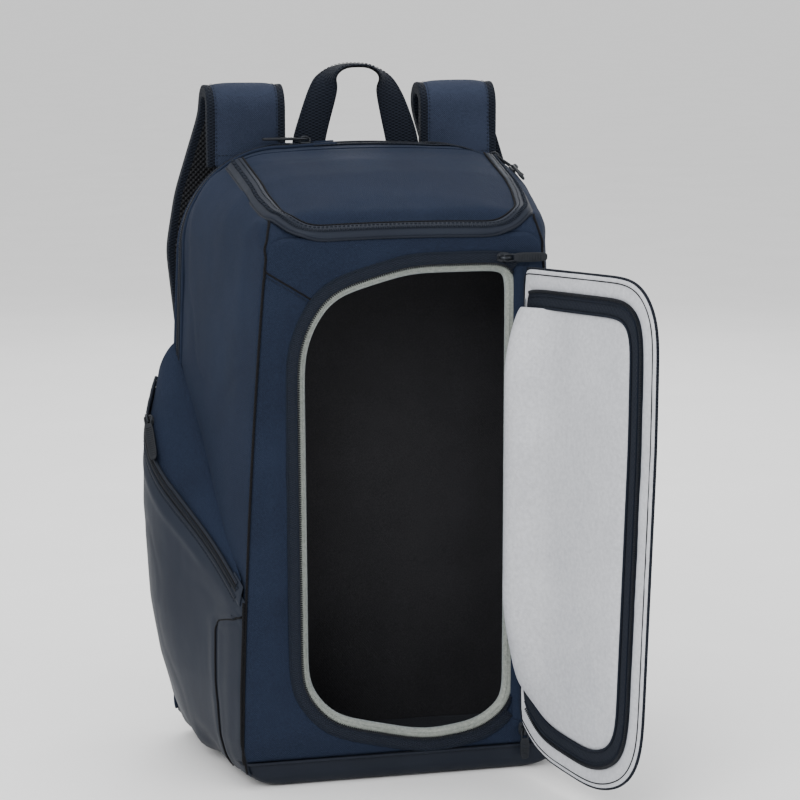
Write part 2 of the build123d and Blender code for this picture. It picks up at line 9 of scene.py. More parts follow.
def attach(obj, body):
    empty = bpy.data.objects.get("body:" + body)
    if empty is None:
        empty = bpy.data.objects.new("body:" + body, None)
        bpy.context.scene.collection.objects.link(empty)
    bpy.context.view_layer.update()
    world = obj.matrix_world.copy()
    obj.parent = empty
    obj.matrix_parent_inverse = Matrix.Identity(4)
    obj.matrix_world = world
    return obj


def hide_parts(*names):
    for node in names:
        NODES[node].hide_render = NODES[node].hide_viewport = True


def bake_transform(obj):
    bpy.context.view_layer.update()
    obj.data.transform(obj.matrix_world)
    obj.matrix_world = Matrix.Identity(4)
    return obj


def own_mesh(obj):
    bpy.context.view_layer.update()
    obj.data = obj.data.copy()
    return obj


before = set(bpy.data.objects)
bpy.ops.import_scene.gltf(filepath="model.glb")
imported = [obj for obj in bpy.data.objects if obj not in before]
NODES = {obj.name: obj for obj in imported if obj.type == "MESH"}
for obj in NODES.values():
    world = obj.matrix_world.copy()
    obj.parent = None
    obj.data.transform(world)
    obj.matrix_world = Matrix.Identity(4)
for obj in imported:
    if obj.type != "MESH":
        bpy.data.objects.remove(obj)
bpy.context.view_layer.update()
MM = 0.001

# ------------------------------------------------------------------ sizes, in millimetres
FRONT_Y, BACK_Y = -92.0, 85.0
BOOT_TOP = 22.0
FOOT_RADIUS = 30.0
LID_HINGE_Y = 50.0
DOOR_HINGE = np.array([95.0, -96.5])
DOOR_OPEN = math.radians(106)
DOOR_DIR = np.array([-math.cos(DOOR_OPEN), -math.sin(DOOR_OPEN), 0.0])
DOOR_INNER = np.array([DOOR_DIR[1], -DOOR_DIR[0], 0.0])

# Skin of the bag at stations from front to back: half widths at the foot, half way up and at
# the shoulder, height of the shoulder, half width of the flat top, height of the top
STATION_Y = np.array([-92.0, -80.0, -20.0, 50.0, 85.0])
STATION = {
    "foot": np.array([135.0, 137.0, 145.0, 154.0, 161.0]),
    "side": np.array([127.5, 130.0, 141.0, 151.0, 160.0]),
    "shoulder": np.array([113.0, 116.0, 130.0, 146.0, 153.0]),
    "shoulder_z": np.array([432.0, 440.0, 432.0, 425.0, 415.0]),
    "top": np.array([97.0, 98.0, 90.0, 78.0, 50.0]),
    "top_z": np.array([447.0, 461.0, 484.0, 502.0, 504.0]),
}


# ------------------------------------------------------------------ numbers and curves
def arc_points(a, b, c, count):
    """Points on the circle arc from a through b to c."""
    a, b, c = (np.array(p, float) for p in (a, b, c))
    rows = 2 * np.array([b - a, c - a])
    centre = np.linalg.solve(rows, [b @ b - a @ a, c @ c - a @ a])
    radius = np.linalg.norm(a - centre)
    start, end = (math.atan2(*(p - centre)[::-1]) for p in (a, c))
    angles = np.linspace(start, end, count)
    return centre + radius * np.column_stack([np.cos(angles), np.sin(angles)])


def resample(points, count):
    """Points spread evenly by length along a polyline."""
    points = np.asarray(points, float)
    steps = np.linalg.norm(np.diff(points, axis=0), axis=1)
    length = np.concatenate([[0], np.cumsum(steps)])
    at = np.linspace(0, length[-1], count)
    return np.column_stack([np.interp(at, length, points[:, k]) for k in range(points.shape[1])])


def smooth_curve(points, count):
    """Catmull-Rom curve through given points, evenly spaced."""
    points = np.asarray(points, float)
    padded = np.vstack([2 * points[0] - points[1], points, 2 * points[-1] - points[-2]])
    fine = []
    share = np.linspace(0, 1, 24, endpoint=False)[:, None]
    for p0, p1, p2, p3 in zip(padded[:-3], padded[1:-2], padded[2:-1], padded[3:]):
        fine.append(
            0.5 * (2 * p1 + (p2 - p0) * share + (2 * p0 - 5 * p1 + 4 * p2 - p3) * share ** 2
                   + (3 * p1 - p0 - 3 * p2 + p3) * share ** 3)
        )
    fine.append(padded[-2][None, :])
    return resample(np.vstack(fine), count)


def round_corners(points, radii, closed=True, steps=10):
    """Polyline with each corner rounded to about a radius."""
    points = np.asarray(points, float)
    out = []
    count = len(points)
    for i, p in enumerate(points):
        if not closed and i in (0, count - 1):
            out.append(p[None, :])
            continue
        before, after = points[i - 1] - p, points[(i + 1) % count] - p
        bend = math.acos(np.clip(before @ after / np.linalg.norm(before) / np.linalg.norm(after), -1, 1))
        reach = radii[i] / math.tan(max(bend, 0.1) / 2)
        reach_b = min(reach, 0.49 * np.linalg.norm(before))
        reach_a = min(reach, 0.49 * np.linalg.norm(after))
        a = p + before / np.linalg.norm(before) * reach_b
        b = p + after / np.linalg.norm(after) * reach_a
        t = np.linspace(0, 1, steps)[:, None]
        out.append((1 - t) ** 2 * a + 2 * t * (1 - t) * p + t ** 2 * b)
    out = np.vstack(out)
    return np.vstack([out, out[:1]]) if closed else out


def fbm(x, y, z, scale, seed=0.0, octaves=3):
    """Smooth noise from -1 to 1 at places in millimetres; scale is the size of a wave."""
    value, size, weight, total = 0.0, scale, 1.0, 0.0
    for octave in range(octaves):
        value += weight * noise.noise(Vector((x / size + seed, y / size + 3.7 * octave, z / size - seed)))
        total += weight
        size, weight = size / 2, weight / 2
    return value / total


def station_value(key, y):
    """Value of one station column at depth y."""
    return np.interp(y, STATION_Y, STATION[key])


def outline(y):
    """Right half of the bag's outline at depth y, from the top centre down to the base centre."""
    foot, side = station_value("foot", y), station_value("side", y)
    shoulder, shoulder_z = station_value("shoulder", y), station_value("shoulder_z", y)
    top, top_z = station_value("top", y), station_value("top_z", y)
    chord_x, chord_z = shoulder - top, top_z - shoulder_z
    bulge = ((shoulder + top) / 2 + 0.22 * chord_z, (shoulder_z + top_z) / 2 + 0.22 * chord_x)
    side_z = (FOOT_RADIUS + shoulder_z) / 2
    turn = FOOT_RADIUS * (1 - math.cos(math.radians(45)))
    crown = np.linspace(0, 1, 24)
    flat = np.column_stack([crown * top, top_z - 2.5 * crown ** 2 + 1.5])
    flat[:, 1] -= flat[-1, 1] - top_z
    parts = [
        flat,
        arc_points((top, top_z), bulge, (shoulder, shoulder_z), 40)[1:],
        arc_points((shoulder, shoulder_z), (side, side_z), (foot, FOOT_RADIUS), 70)[1:],
        arc_points((foot, FOOT_RADIUS), (foot - turn, turn), (foot - FOOT_RADIUS, 0), 14)[1:],
        np.array([[0.0, 0.0]]),
    ]
    return np.vstack(parts)


def skin_side(y, z):
    """Half width of the skin at depth y and height z, below the shoulders."""
    line = outline(y)[24:-1]
    return float(np.interp(z, line[::-1, 1], line[::-1, 0]))


def skin_top(y, x):
    """Height of the skin at depth y, x off the middle."""
    line = outline(y)[:64]
    return float(np.interp(abs(x), line[:, 0], line[:, 1]))


def relax(values, times):
    """Even out a run of values in place, keeping its ends."""
    for _ in range(times):
        values[1:-1] = (values[:-2] + values[1:-1] * 2 + values[2:]) / 4


# ------------------------------------------------------------------ making meshes
def make_object(name, verts_mm, faces, material, smooth=True):
    """Mesh object from vertices in millimetres."""
    mesh = bpy.data.meshes.new(name)
    mesh.from_pydata([tuple(v) for v in np.asarray(verts_mm, float) * MM], [], faces)
    mesh.validate()
    for polygon in mesh.polygons:
        polygon.use_smooth = smooth
    mesh.materials.append(material)
    piece = bpy.data.objects.new(name, mesh)
    bpy.context.scene.collection.objects.link(piece)
    return piece


def place(piece, body, slot_name, *nodes):
    """Ride on a body and stand for CAD nodes; slot_name is not used."""
    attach(piece, body)
    if nodes:
        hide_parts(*nodes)
    return piece


def grid_faces(rows, columns, wrap_columns=False):
    """Quads between the points of a grid."""
    faces = []
    last = columns if wrap_columns else columns - 1
    for i in range(rows - 1):
        for j in range(last):
            a, b = i * columns + j, i * columns + (j + 1) % columns
            faces.append((a, b, b + columns, a + columns))
    return faces


def tube_faces(rows, columns):
    """Faces round a stack of rings, closed at both ends."""
    ends = [tuple(range(columns))[::-1], tuple((rows - 1) * columns + j for j in range(columns))]
    return grid_faces(rows, columns, True) + ends


def thick_grid(name, points, thickness, material, wrap=False, flip=False, offset=-1.0, cap=False):
    """Sheet of cloth from a grid of points, given thickness and smoothed; cap closes its last ring."""
    rows, columns = points.shape[:2]
    faces = grid_faces(rows, columns, wrap)
    verts = points.reshape(-1, 3)
    if cap:
        base, middle = (rows - 1) * columns, len(verts)
        verts = np.vstack([verts, points[-1].mean(axis=0)])
        faces += [(base + j, base + (j + 1) % columns, middle) for j in range(columns)]
    if flip:
        faces = [face[::-1] for face in faces]
    piece = make_object(name, verts, faces, material)
    thicken(piece, thickness, offset)
    return soften(piece)


def thicken(piece, thickness, offset=-1.0):
    """Give a sheet its thickness in millimetres."""
    solid = piece.modifiers.new("thickness", "SOLIDIFY")
    solid.thickness = thickness * MM
    solid.offset = offset
    solid.use_even_offset = False


def soften(piece):
    """Smooth a piece by one level of subdivision."""
    smooth = piece.modifiers.new("smooth", "SUBSURF")
    smooth.levels = smooth.render_levels = 1
    return piece


def path_frames(path, normals, closed=False):
    """Unit tangent, side and normal at each point of a path."""
    path, normals = np.asarray(path, float), np.asarray(normals, float)
    if normals.ndim == 1:
        normals = np.tile(normals, (len(path), 1))
    if closed:
        tangent = np.roll(path, -1, axis=0) - np.roll(path, 1, axis=0)
    else:
        tangent = np.gradient(path, axis=0)
    tangent /= np.linalg.norm(tangent, axis=1)[:, None] + 1e-9
    side = np.cross(normals, tangent)
    side /= np.linalg.norm(side, axis=1)[:, None] + 1e-9
    normal = np.cross(tangent, side)
    return tangent, side, normal


def sweep(path, normals, profile, closed=False):
    """Vertices and faces of a closed profile of (side, up) points carried along a path."""
    path = np.asarray(path, float)
    profile = np.asarray(profile, float)
    _, side, normal = path_frames(path, normals, closed)
    rings = path[:, None, :] + side[:, None, :] * profile[None, :, :1] + normal[:, None, :] * profile[None, :,
                                                                                                      1:]
    rows, columns = len(path), len(profile)
    if not closed:
        return rings.reshape(-1, 3), tube_faces(rows, columns)
    base = (rows - 1) * columns
    join = [(base + j, base + (j + 1) % columns, (j + 1) % columns, j) for j in range(columns)]
    return rings.reshape(-1, 3), grid_faces(rows, columns, True) + join


def band_profile(width, thickness):
    """Flat profile with rounded edges, resting on the path."""
    half, t = width / 2, thickness
    return [(-half, t / 2), (-half + t / 2, 0), (half - t / 2, 0), (half, t / 2),
            (half - t / 2, t), (0, t * 1.06), (-half + t / 2, t)]


def round_profile(radius):
    """Round profile of eight points."""
    turn = [2 * math.pi * k / 8 for k in range(8)]
    return [(radius * math.cos(a), radius * math.sin(a)) for a in turn]


def swept(name, path, normals, profile, material, closed=False):
    """Object made by sweep."""
    verts, faces = sweep(path, normals, profile, closed)
    return make_object(name, verts, faces, material)


BLOCK_PLAN = [(-0.5, -0.2), (-0.2, -0.5), (0.2, -0.5), (0.5, -0.2), (0.5, 0.2), (0.2, 0.5), (-0.2, 0.5),
              (-0.5, 0.2)]
BLOCK_LEVELS = [(0.0, 1.0), (0.75, 0.95), (1.0, 0.6)]  # share of the height, and how wide the block is there


def blocks_along(path, normals, spacing, size, lift=0.0):
    """Small bevelled blocks, as stitches or zip teeth, set along a path."""
    path = np.asarray(path, float)
    normals = np.asarray(normals, float)
    if normals.ndim == 1:
        normals = np.tile(normals, (len(path), 1))
    steps = np.linalg.norm(np.diff(path, axis=0), axis=1)
    length = np.concatenate([[0], np.cumsum(steps)])
    at = np.arange(spacing / 2, length[-1], spacing)
    points = np.column_stack([np.interp(at, length, path[:, k]) for k in range(3)])
    up = np.column_stack([np.interp(at, length, normals[:, k]) for k in range(3)])
    if len(points) < 2:
        return np.zeros((0, 3)), []
    tangent, side, normal = path_frames(points, up)
    long, wide, high = size
    block = tube_faces(len(BLOCK_LEVELS), len(BLOCK_PLAN))
    verts, faces = [], []
    for n, point in enumerate(points):
        middle = point + normal[n] * lift
        faces += [tuple(len(verts) + k for k in face) for face in block]
        for level, grow in BLOCK_LEVELS:
            for a, b in BLOCK_PLAN:
                verts.append(middle + tangent[n] * a * long * grow + side[n] * b * wide * grow
                             + normal[n] * high * level)
    return np.array(verts), faces


def merge(parts):
    """One list of vertices and faces from several."""
    verts, faces, start = [], [], 0
    for part_verts, part_faces in parts:
        if len(part_verts) == 0:
            continue
        verts.append(np.asarray(part_verts, float))
        faces += [tuple(index + start for index in face) for face in part_faces]
        start += len(part_verts)
    return np.vstack(verts), faces


def stitch_row(path, normals, lift=0.15):
    """Thread of a seam: short raised stitches along a path."""
    return blocks_along(path, normals, 3.4, (2.4, 0.7, 0.45), lift)


# ------------------------------------------------------------------ materials
class Nodes:
    """Shorthand for building one node tree."""

    def __init__(self, name):
        self.material = bpy.data.materials.new(name)
        self.material.use_nodes = True
        self.tree = self.material.node_tree
        self.shader = self.tree.nodes["Principled BSDF"]
        self.place = self.add("ShaderNodeTexCoord").outputs["Object"]

    def add(self, kind, **values):
        """New node; values are its properties or its unlinked inputs."""
        node = self.tree.nodes.new(kind)
        for key, value in values.items():
            if hasattr(node, key):
                setattr(node, key, value)
            else:
                node.inputs[key.replace("_", " ")].default_value = value
        return node

    def link(self, out, socket):
        self.tree.links.new(out, socket)
        return socket

    def math(self, operation, a, b=None):
        """Result of one math node, from sockets or numbers."""
        node = self.add("ShaderNodeMath", operation=operation)
        for index, value in enumerate((a, b)):
            if value is None:
                continue
            if isinstance(value, (int, float)):
                node.inputs[index].default_value = value
            else:
                self.link(value, node.inputs[index])
        return node.outputs[0]

    def noise(self, scale, detail=3.0, roughness=0.55, stretch=None):
        """Noise of a scale in waves per metre; stretch squeezes it along an axis."""
        node = self.add("ShaderNodeTexNoise", Scale=scale, Detail=detail, Roughness=roughness)
        source = self.place
        if stretch:
            mapping = self.add("ShaderNodeMapping")
            mapping.inputs["Scale"].default_value = stretch
            self.link(self.place, mapping.inputs["Vector"])
            source = mapping.outputs[0]
        self.link(source, node.inputs["Vector"])
        return node.outputs["Fac"]

    def ramp(self, value, stops):
        """Colour ramp from a value; stops are (position, colour)."""
        node = self.add("ShaderNodeValToRGB")
        elements = node.color_ramp.elements
        while len(elements) < len(stops):
            elements.new(0.5)
        for element, (position, colour) in zip(elements, stops):
            element.position = position
            element.color = (*colour, 1.0)
        self.link(value, node.inputs["Fac"])
        return node.outputs["Color"]

    def threads(self, pitch, across=1.0):
        """Height of a plain weave from the three flat directions, in threads per metre."""
        axes = self.add("ShaderNodeSeparateXYZ")
        self.link(self.place, axes.inputs[0])
        normal = self.add("ShaderNodeSeparateXYZ")
        self.link(self.add("ShaderNodeTexCoord").outputs["Normal"], normal.inputs[0])
        turns = math.pi / pitch
        waves = [self.math("SINE", self.math("MULTIPLY", axes.outputs[k], turns)) for k in range(3)]
        slow = [self.math("SINE", self.math("MULTIPLY", axes.outputs[k], turns * across)) for k in range(3)]
        total = None
        for k in range(3):
            u, v = (k + 1) % 3, (k + 2) % 3
            weight = self.math("MULTIPLY", normal.outputs[k], normal.outputs[k])
            layer = self.math("MULTIPLY", self.math("MULTIPLY", waves[u], slow[v]), weight)
            total = layer if total is None else self.math("ADD", total, layer)
        return total

    def span(self, value, low, high):
        """Value from 0 to 1 spread from low to high."""
        node = self.add("ShaderNodeMapRange")
        self.link(value, node.inputs["Value"])
        node.inputs["To Min"].default_value, node.inputs["To Max"].default_value = low, high
        return node.outputs[0]

    def bump(self, height, distance, strength=1.0, under=None):
        """Bump from a height, over an earlier one."""
        node = self.add("ShaderNodeBump", Distance=distance, Strength=strength)
        self.link(height, node.inputs["Height"])
        if under is not None:
            self.link(under, node.inputs["Normal"])
        return node.outputs["Normal"]

    def finish(self, colour=None, roughness=None, normal=None, **constants):
        """Connect the shader's inputs; numbers go straight on its sockets."""
        if colour is not None:
            self.link(colour, self.shader.inputs["Base Color"])
        if roughness is not None:
            self.link(roughness, self.shader.inputs["Roughness"])
        if normal is not None:
            self.link(normal, self.shader.inputs["Normal"])
        for key, value in constants.items():
            self.shader.inputs[key.replace("_", " ")].default_value = value
        return self.material


SHEEN_TINT = (0.5, 0.6, 0.8, 1.0)


def cloth(name, dark, light, pitch, bump=0.0003, rough=(0.75, 0.92), sheen=0.25, mottle=900.0):
    """Woven cloth: mottled threads, broad fading, a weave you can feel."""
    n = Nodes(name)
    fleck = n.noise(mottle, 2.0, 0.7)
    fade = n.noise(14.0, 3.0)
    mix = n.math("ADD", n.math("MULTIPLY", fleck, 0.62), n.math("MULTIPLY", fade, 0.38))
    colour = n.ramp(mix, [(0.36, dark), (0.64, light)])
    weave = n.threads(pitch)
    crease = n.noise(70.0, 4.0)
    normal = n.bump(crease, 0.0012, 0.35)
    normal = n.bump(weave, bump, 0.9, normal)
    return n.finish(colour, n.span(fade, *rough), normal, Sheen_Weight=sheen, Sheen_Roughness=0.45,
                    Sheen_Tint=SHEEN_TINT, Specular_IOR_Level=0.10)


def coated(name, dark, light):
    """Smooth coated cloth: fine grain, soft gloss, faint rubbed marks."""
    n = Nodes(name)
    grain = n.noise(2600.0, 2.0)
    fade = n.noise(11.0, 4.0)
    rub = n.noise(55.0, 5.0, 0.6, (1.0, 1.0, 0.35))
    mix = n.math("ADD", n.math("MULTIPLY", fade, 0.6), n.math("MULTIPLY", grain, 0.4))
    colour = n.ramp(mix, [(0.35, dark), (0.65, light)])
    rough = n.span(rub, 0.44, 0.62)
    normal = n.bump(n.noise(40.0, 3.0), 0.0010, 0.30)
    normal = n.bump(grain, 0.00008, 0.8, normal)
    return n.finish(colour, rough, normal, Sheen_Weight=0.01, Sheen_Roughness=0.4,
                    Specular_IOR_Level=0.14)


def ribbed(name, dark, light, pitch):
    """Webbing: coarse ribs across and fine threads along."""
    n = Nodes(name)
    weave = n.threads(pitch, across=0.45)
    fleck = n.noise(1400.0, 2.0, 0.7)
    mix = n.math("ADD", n.math("MULTIPLY", n.math("ADD", weave, 1.0), 0.3), n.math("MULTIPLY", fleck, 0.5))
    colour = n.ramp(mix, [(0.25, dark), (0.85, light)])
    normal = n.bump(weave, 0.0006, 1.0)
    return n.finish(colour, None, normal, Roughness=0.82, Sheen_Weight=0.02, Specular_IOR_Level=0.10)


def spacer_mesh(name, dark, light, pitch):
    """Air mesh: rows of open cells over a dark core."""
    n = Nodes(name)
    cells = n.threads(pitch, across=1.0)
    colour = n.ramp(n.math("ADD", n.math("MULTIPLY", cells, 0.5), 0.5), [(0.30, dark), (0.62, light)])
    normal = n.bump(cells, 0.0012, 1.0)
    return n.finish(colour, None, normal, Roughness=0.88, Sheen_Weight=0.01, Specular_IOR_Level=0.10)


def moulded(name, dark, light, rough, metallic=0.0):
    """Moulded plastic or painted metal: fine texture, slightly rubbed."""
    n = Nodes(name)
    wear = n.noise(240.0, 5.0)
    grain = n.noise(3800.0, 2.0)
    colour = n.ramp(wear, [(0.35, dark), (0.75, light)])
    spread = n.span(wear, rough - 0.08, rough + 0.12)
    normal = n.bump(grain, 0.00005, 0.7)
    return n.finish(colour, spread, normal, Metallic=metallic, Specular_IOR_Level=0.25)


NAVY = cloth("navy_fabric", (0.0070, 0.0110, 0.0228), (0.0132, 0.0196, 0.0385), 0.0009, 0.00022, sheen=0.02)
# Lighter copy of the navy cloth for the shoulder straps: painted light that brightens the straps' faces
STRAP_CLOTH_PAINTED_LIGHT = cloth("strap_fabric_painted_light", (0.0150, 0.0205, 0.0370), (0.0260, 0.0340, 0.0590), 0.0009, 0.00022,
                    sheen=0.02)
COATED = coated("coated_fabric", (0.0090, 0.0120, 0.0200), (0.0138, 0.0182, 0.0285))
BOOT = coated("boot_fabric", (0.0060, 0.0082, 0.0140), (0.0100, 0.0132, 0.0210))
LINING = cloth("pale_lining", (0.44, 0.45, 0.48), (0.56, 0.57, 0.60), 0.0007, 0.00012, (0.6, 0.75), 0.15,
               300.0)
BINDING = cloth("binding", (0.19, 0.21, 0.19), (0.31, 0.33, 0.30), 0.0008, 0.0003, (0.75, 0.9), 0.3, 420.0)
DARK_LINING = cloth("dark_lining", (0.016, 0.016, 0.018), (0.026, 0.026, 0.029), 0.0007, 0.00012, (0.5, 0.7),
                    0.04, 900.0)
WEBBING = ribbed("webbing", (0.0030, 0.0042, 0.0075), (0.0100, 0.0135, 0.0220), 0.0013)
ZIP_TAPE = ribbed("zip_tape", (0.0070, 0.0095, 0.0160), (0.0165, 0.0215, 0.0330), 0.0009)
MESH = spacer_mesh("air_mesh", (0.002, 0.002, 0.003), (0.022, 0.023, 0.026), 0.0022)
THREAD = ribbed("thread", (0.005, 0.007, 0.013), (0.014, 0.020, 0.034), 0.0006)
BLACK_THREAD = ribbed("black_thread", (0.003, 0.003, 0.004), (0.008, 0.008, 0.010), 0.0006)
TEETH = moulded("zip_teeth", (0.004, 0.005, 0.008), (0.009, 0.011, 0.016), 0.42)
PLASTIC = moulded("dark_plastic", (0.012, 0.013, 0.016), (0.020, 0.021, 0.026), 0.42)
METAL = moulded("slider_metal", (0.012, 0.014, 0.018), (0.04, 0.043, 0.05), 0.32, 0.6)
RUBBER_PULL = moulded("pull_rubber", (0.0035, 0.0050, 0.0080), (0.0070, 0.0092, 0.0140), 0.6)
BOARD = moulded("board", (0.04, 0.04, 0.045), (0.06, 0.06, 0.066), 0.6)


# ------------------------------------------------------------------ the skin of the bag
def smooth_step(value):
    """0 to 1 with flat ends."""
    t = np.clip(value, 0.0, 1.0)
    return t * t * (3 - 2 * t)


def grid_normals(points, outward_from, wrap=False):
    """Unit normals of a grid, turned away from a point."""
    along = np.gradient(points, axis=0)
    if wrap:
        across = np.roll(points, -1, axis=1) - np.roll(points, 1, axis=1)
    else:
        across = np.gradient(points, axis=1)
    normal = np.cross(along, across)
    normal /= np.linalg.norm(normal, axis=2)[..., None] + 1e-9
    away = np.sum(normal * (points - np.array(outward_from)), axis=2)
    normal[away < 0] *= -1
    return normal


def edge_distance(points, wrap=False):
    """Distance of each grid point from the nearest edge of its grid, in millimetres."""
    def reach(axis):
        steps = np.linalg.norm(np.diff(points, axis=axis), axis=2)
        pad = [(0, 0), (0, 0)]
        pad[axis] = (1, 0)
        run = np.cumsum(np.pad(steps, pad), axis=axis)
        last = run[-1:, :] if axis == 0 else run[:, -1:]
        return np.minimum(run, last - run)
    return reach(0) if wrap else np.minimum(reach(0), reach(1))


def sewn(points, puff, spread, roll, wrinkle, seed, centre=(0, 0, 250), wrap=False, wave=(60, 60, 60),
         extra=None,
         start=0.0):
    """Cloth panel between its seams: it swells, dips at the stitching and creases a little."""
    normal = grid_normals(points, centre, wrap)
    edge = edge_distance(points, wrap)
    move = puff * smooth_step((edge - start) / spread) - roll * np.exp(-(edge / 1.7) ** 2)
    calm = smooth_step(edge / 10.0)
    for index in np.ndindex(edge.shape):
        x, y, z = points[index]
        broad = fbm(x * 60 / wave[0], y * 60 / wave[1], z * 60 / wave[2], 60, seed, 3)
        fold = abs(fbm(x * 60 / wave[0], y * 60 / wave[1], z * 60 / wave[2], 95, seed + 31, 2))
        move[index] += wrinkle * calm[index] * (1.2 * broad - 1.3 * math.exp(-(fold / 0.05) ** 2) * 0.5)
    if extra is not None:
        move = move + extra
    return points + normal * move[..., None]


def cloth_tree(*grids):
    """Search tree over grids of points; each is (points, wrap)."""
    verts, faces = [], []
    for points, wrap in grids:
        start = len(verts)
        verts += [tuple(p) for p in points.reshape(-1, 3)]
        faces += [tuple(start + k for k in face) for face in grid_faces(*points.shape[:2], wrap)]
    return BVHTree.FromPolygons(verts, faces)


def on_cloth(tree, path, outward, lift=0.0):
    """Nearest points of the cloth to a path, raised along the cloth's normal on its outward side."""
    out, up = [], []
    for point in np.asarray(path, float):
        place_at, normal, _, _ = tree.find_nearest(Vector(point))
        normal = np.array(normal) * (1 if np.dot(normal, outward) > 0 else -1)
        out.append(np.array(place_at) + normal * lift)
        up.append(normal)
    return np.array(out), np.array(up)


def opening_outline(grow=0.0):
    """Closed outline of the front opening in (x, z), grown outwards."""
    corners = [(90, 58), (90, 422), (4, 422), (-64, 403), (-88, 362), (-86, 80), (-62, 50), (18, 31),
               (66, 38)]
    radii = [8, 6, 80, 46, 80, 34, 40, 80, 34]
    line = resample(round_corners(corners, radii), 261)[:-1]
    for _ in range(14):
        line = (np.roll(line, 1, axis=0) + 2 * line + np.roll(line, -1, axis=0)) / 4
    if grow:
        tangent = np.roll(line, -1, axis=0) - np.roll(line, 1, axis=0)
        tangent /= np.linalg.norm(tangent, axis=1)[:, None]
        line = line + grow * np.column_stack([tangent[:, 1], -tangent[:, 0]])
    return line


def ray_cast(outline_points, centre, angles):
    """Where rays from a centre leave a closed outline."""
    closed = np.vstack([outline_points, outline_points[:1]])
    found = []
    for angle in angles:
        d = np.array([math.cos(angle), math.sin(angle)])
        best = 0.0
        a, b = closed[:-1] - centre, closed[1:] - centre
        cross_a = d[0] * a[:, 1] - d[1] * a[:, 0]
        cross_b = d[0] * b[:, 1] - d[1] * b[:, 0]
        for k in np.nonzero(cross_a * cross_b <= 0)[0]:
            share = cross_a[k] / (cross_a[k] - cross_b[k] + 1e-12)
            hit = a[k] + share * (b[k] - a[k])
            best = max(best, float(hit @ d))
        found.append(centre + d * best)
    return np.array(found)


def segment_distance(x, z, a, b):
    """Distance in the front plane from points to the segment from a to b."""
    a, b = np.array(a, float), np.array(b, float)
    d = b - a
    t = np.clip(((x - a[0]) * d[0] + (z - a[1]) * d[1]) / (d @ d), 0, 1)
    return np.hypot(x - a[0] - t * d[0], z - a[1] - t * d[1])


FRONT_TOP_Z = 446.6
DIAGONAL_SEAM = ((-119, 424), (-66, 391))


def front_panel():
    """Frame of cloth round the door opening, with the slanting seam at its upper left."""
    side = outline(FRONT_Y)[24:-1]
    side = side[(side[:, 1] >= BOOT_TOP) & (side[:, 1] <= FRONT_TOP_Z)]
    right = np.vstack([[side[0, 0] - 1, FRONT_TOP_Z], side, [side[-1, 0], BOOT_TOP]])
    outer = np.vstack([right, right[::-1] * [-1, 1]])
    centre = np.array([1.0, 228.0])
    corners = [math.atan2(z - centre[1], x - centre[0]) for x,
               z in (right[0], right[-1], right[0] * [-1, 1], right[-1] * [-1, 1])]
    angles = np.linspace(-math.pi, math.pi, 300, endpoint=False)
    for corner in corners:
        angles[np.argmin(abs(angles - corner))] = corner
    out_ring, in_ring = ray_cast(outer, centre, angles), ray_cast(opening_outline(1.0), centre, angles)
    share = np.concatenate([[0, 0.02, 0.05, 0.1], np.linspace(0.18, 0.85, 12), [0.93, 0.975, 1.0]])
    flat = out_ring[None] + (in_ring - out_ring)[None] * share[:, None, None]
    points = np.stack([flat[..., 0], np.full(flat.shape[:2], FRONT_Y), flat[..., 1]], axis=2)
    near = segment_distance(points[..., 0], points[..., 2], *DIAGONAL_SEAM)
    moved = sewn(points, 2.6, 30, 3.0, 0.9, 3.0, (0, 0, 250), True, (50, 60, 90),
                 -0.9 * np.exp(-(near / 6) ** 2))
    piece = thick_grid("front_panel_cloth", moved, 1.6, NAVY, wrap=True)
    place(piece, "bag", "navy_fabric", "front_panel")
    line = np.array([[x, FRONT_Y, z] for x, z in np.linspace(*DIAGONAL_SEAM, 30)])
    tree = cloth_tree((moved, True))
    seam, up = on_cloth(tree, line, (0, -1, 0), 0.2)
    # Black cords laid along the seams in their grooves: painted shade that darkens the creases
    cords = [sweep(seam, up, round_profile(0.75))]
    for sign in (-1, 1):
        groove = np.array([[sign * (x - 0.1), FRONT_Y + 0.7, z] for x,
                           z in resample(right[right[:, 1] < 420], 90)])
        cords.append(sweep(groove, (sign * 0.7, -0.7, 0), round_profile(1.0)))
    place(make_object("front_seam_painted_shade_cords", *merge(cords), BLACK_THREAD), "bag", "navy_fabric")
    row, up = on_cloth(tree, line + [-1.3, 0, -2.6], (0, -1, 0), 0.1)
    place(make_object("front_seam_stitches", *stitch_row(row, up), THREAD), "bag", "navy_fabric")
    return moved


def seam_top(name, sign, front, side):
    """Top of the front seam, which bends out over the brow to the lid: a black cord of painted shade in the seam's
    crease.
    """
    line = outline(FRONT_Y)[24:-1]
    edge_x = float(np.interp(-419, -line[:, 1], line[:, 0]))
    turns = [(-0.1, 414), (-0.1, 422), (-0.1, 431), (-0.6, 440), (-2.0, 449), (-4.5, 458), (-8.0, 467)]
    rise = smooth_curve([(edge_x + shift, z) for shift, z in turns], 60)
    outward = np.array([sign * 0.6, -0.75, 0.25])
    flat = np.array([(sign * x, FRONT_Y + 0.7 + 0.25 * max(z - 440, 0), z) for x, z in rise])
    seam, up = on_cloth(cloth_tree((front, True), (side, False)), flat + outward * 3, outward, 0.3)
    seam = flat + (seam - flat) * smooth_step((flat[:, 2:] - 416) / 16)
    relax(seam, 24)
    place(swept(f"front_seam_top_painted_shade_{name}", seam, up, round_profile(1.0), BLACK_THREAD), "bag", "navy_fabric")


def lid_edge_x(y):
    """Half width of the lid at depth y."""
    return float(np.interp(y, [-93, -76, -40, 50], [98, 109, 114, 117]))


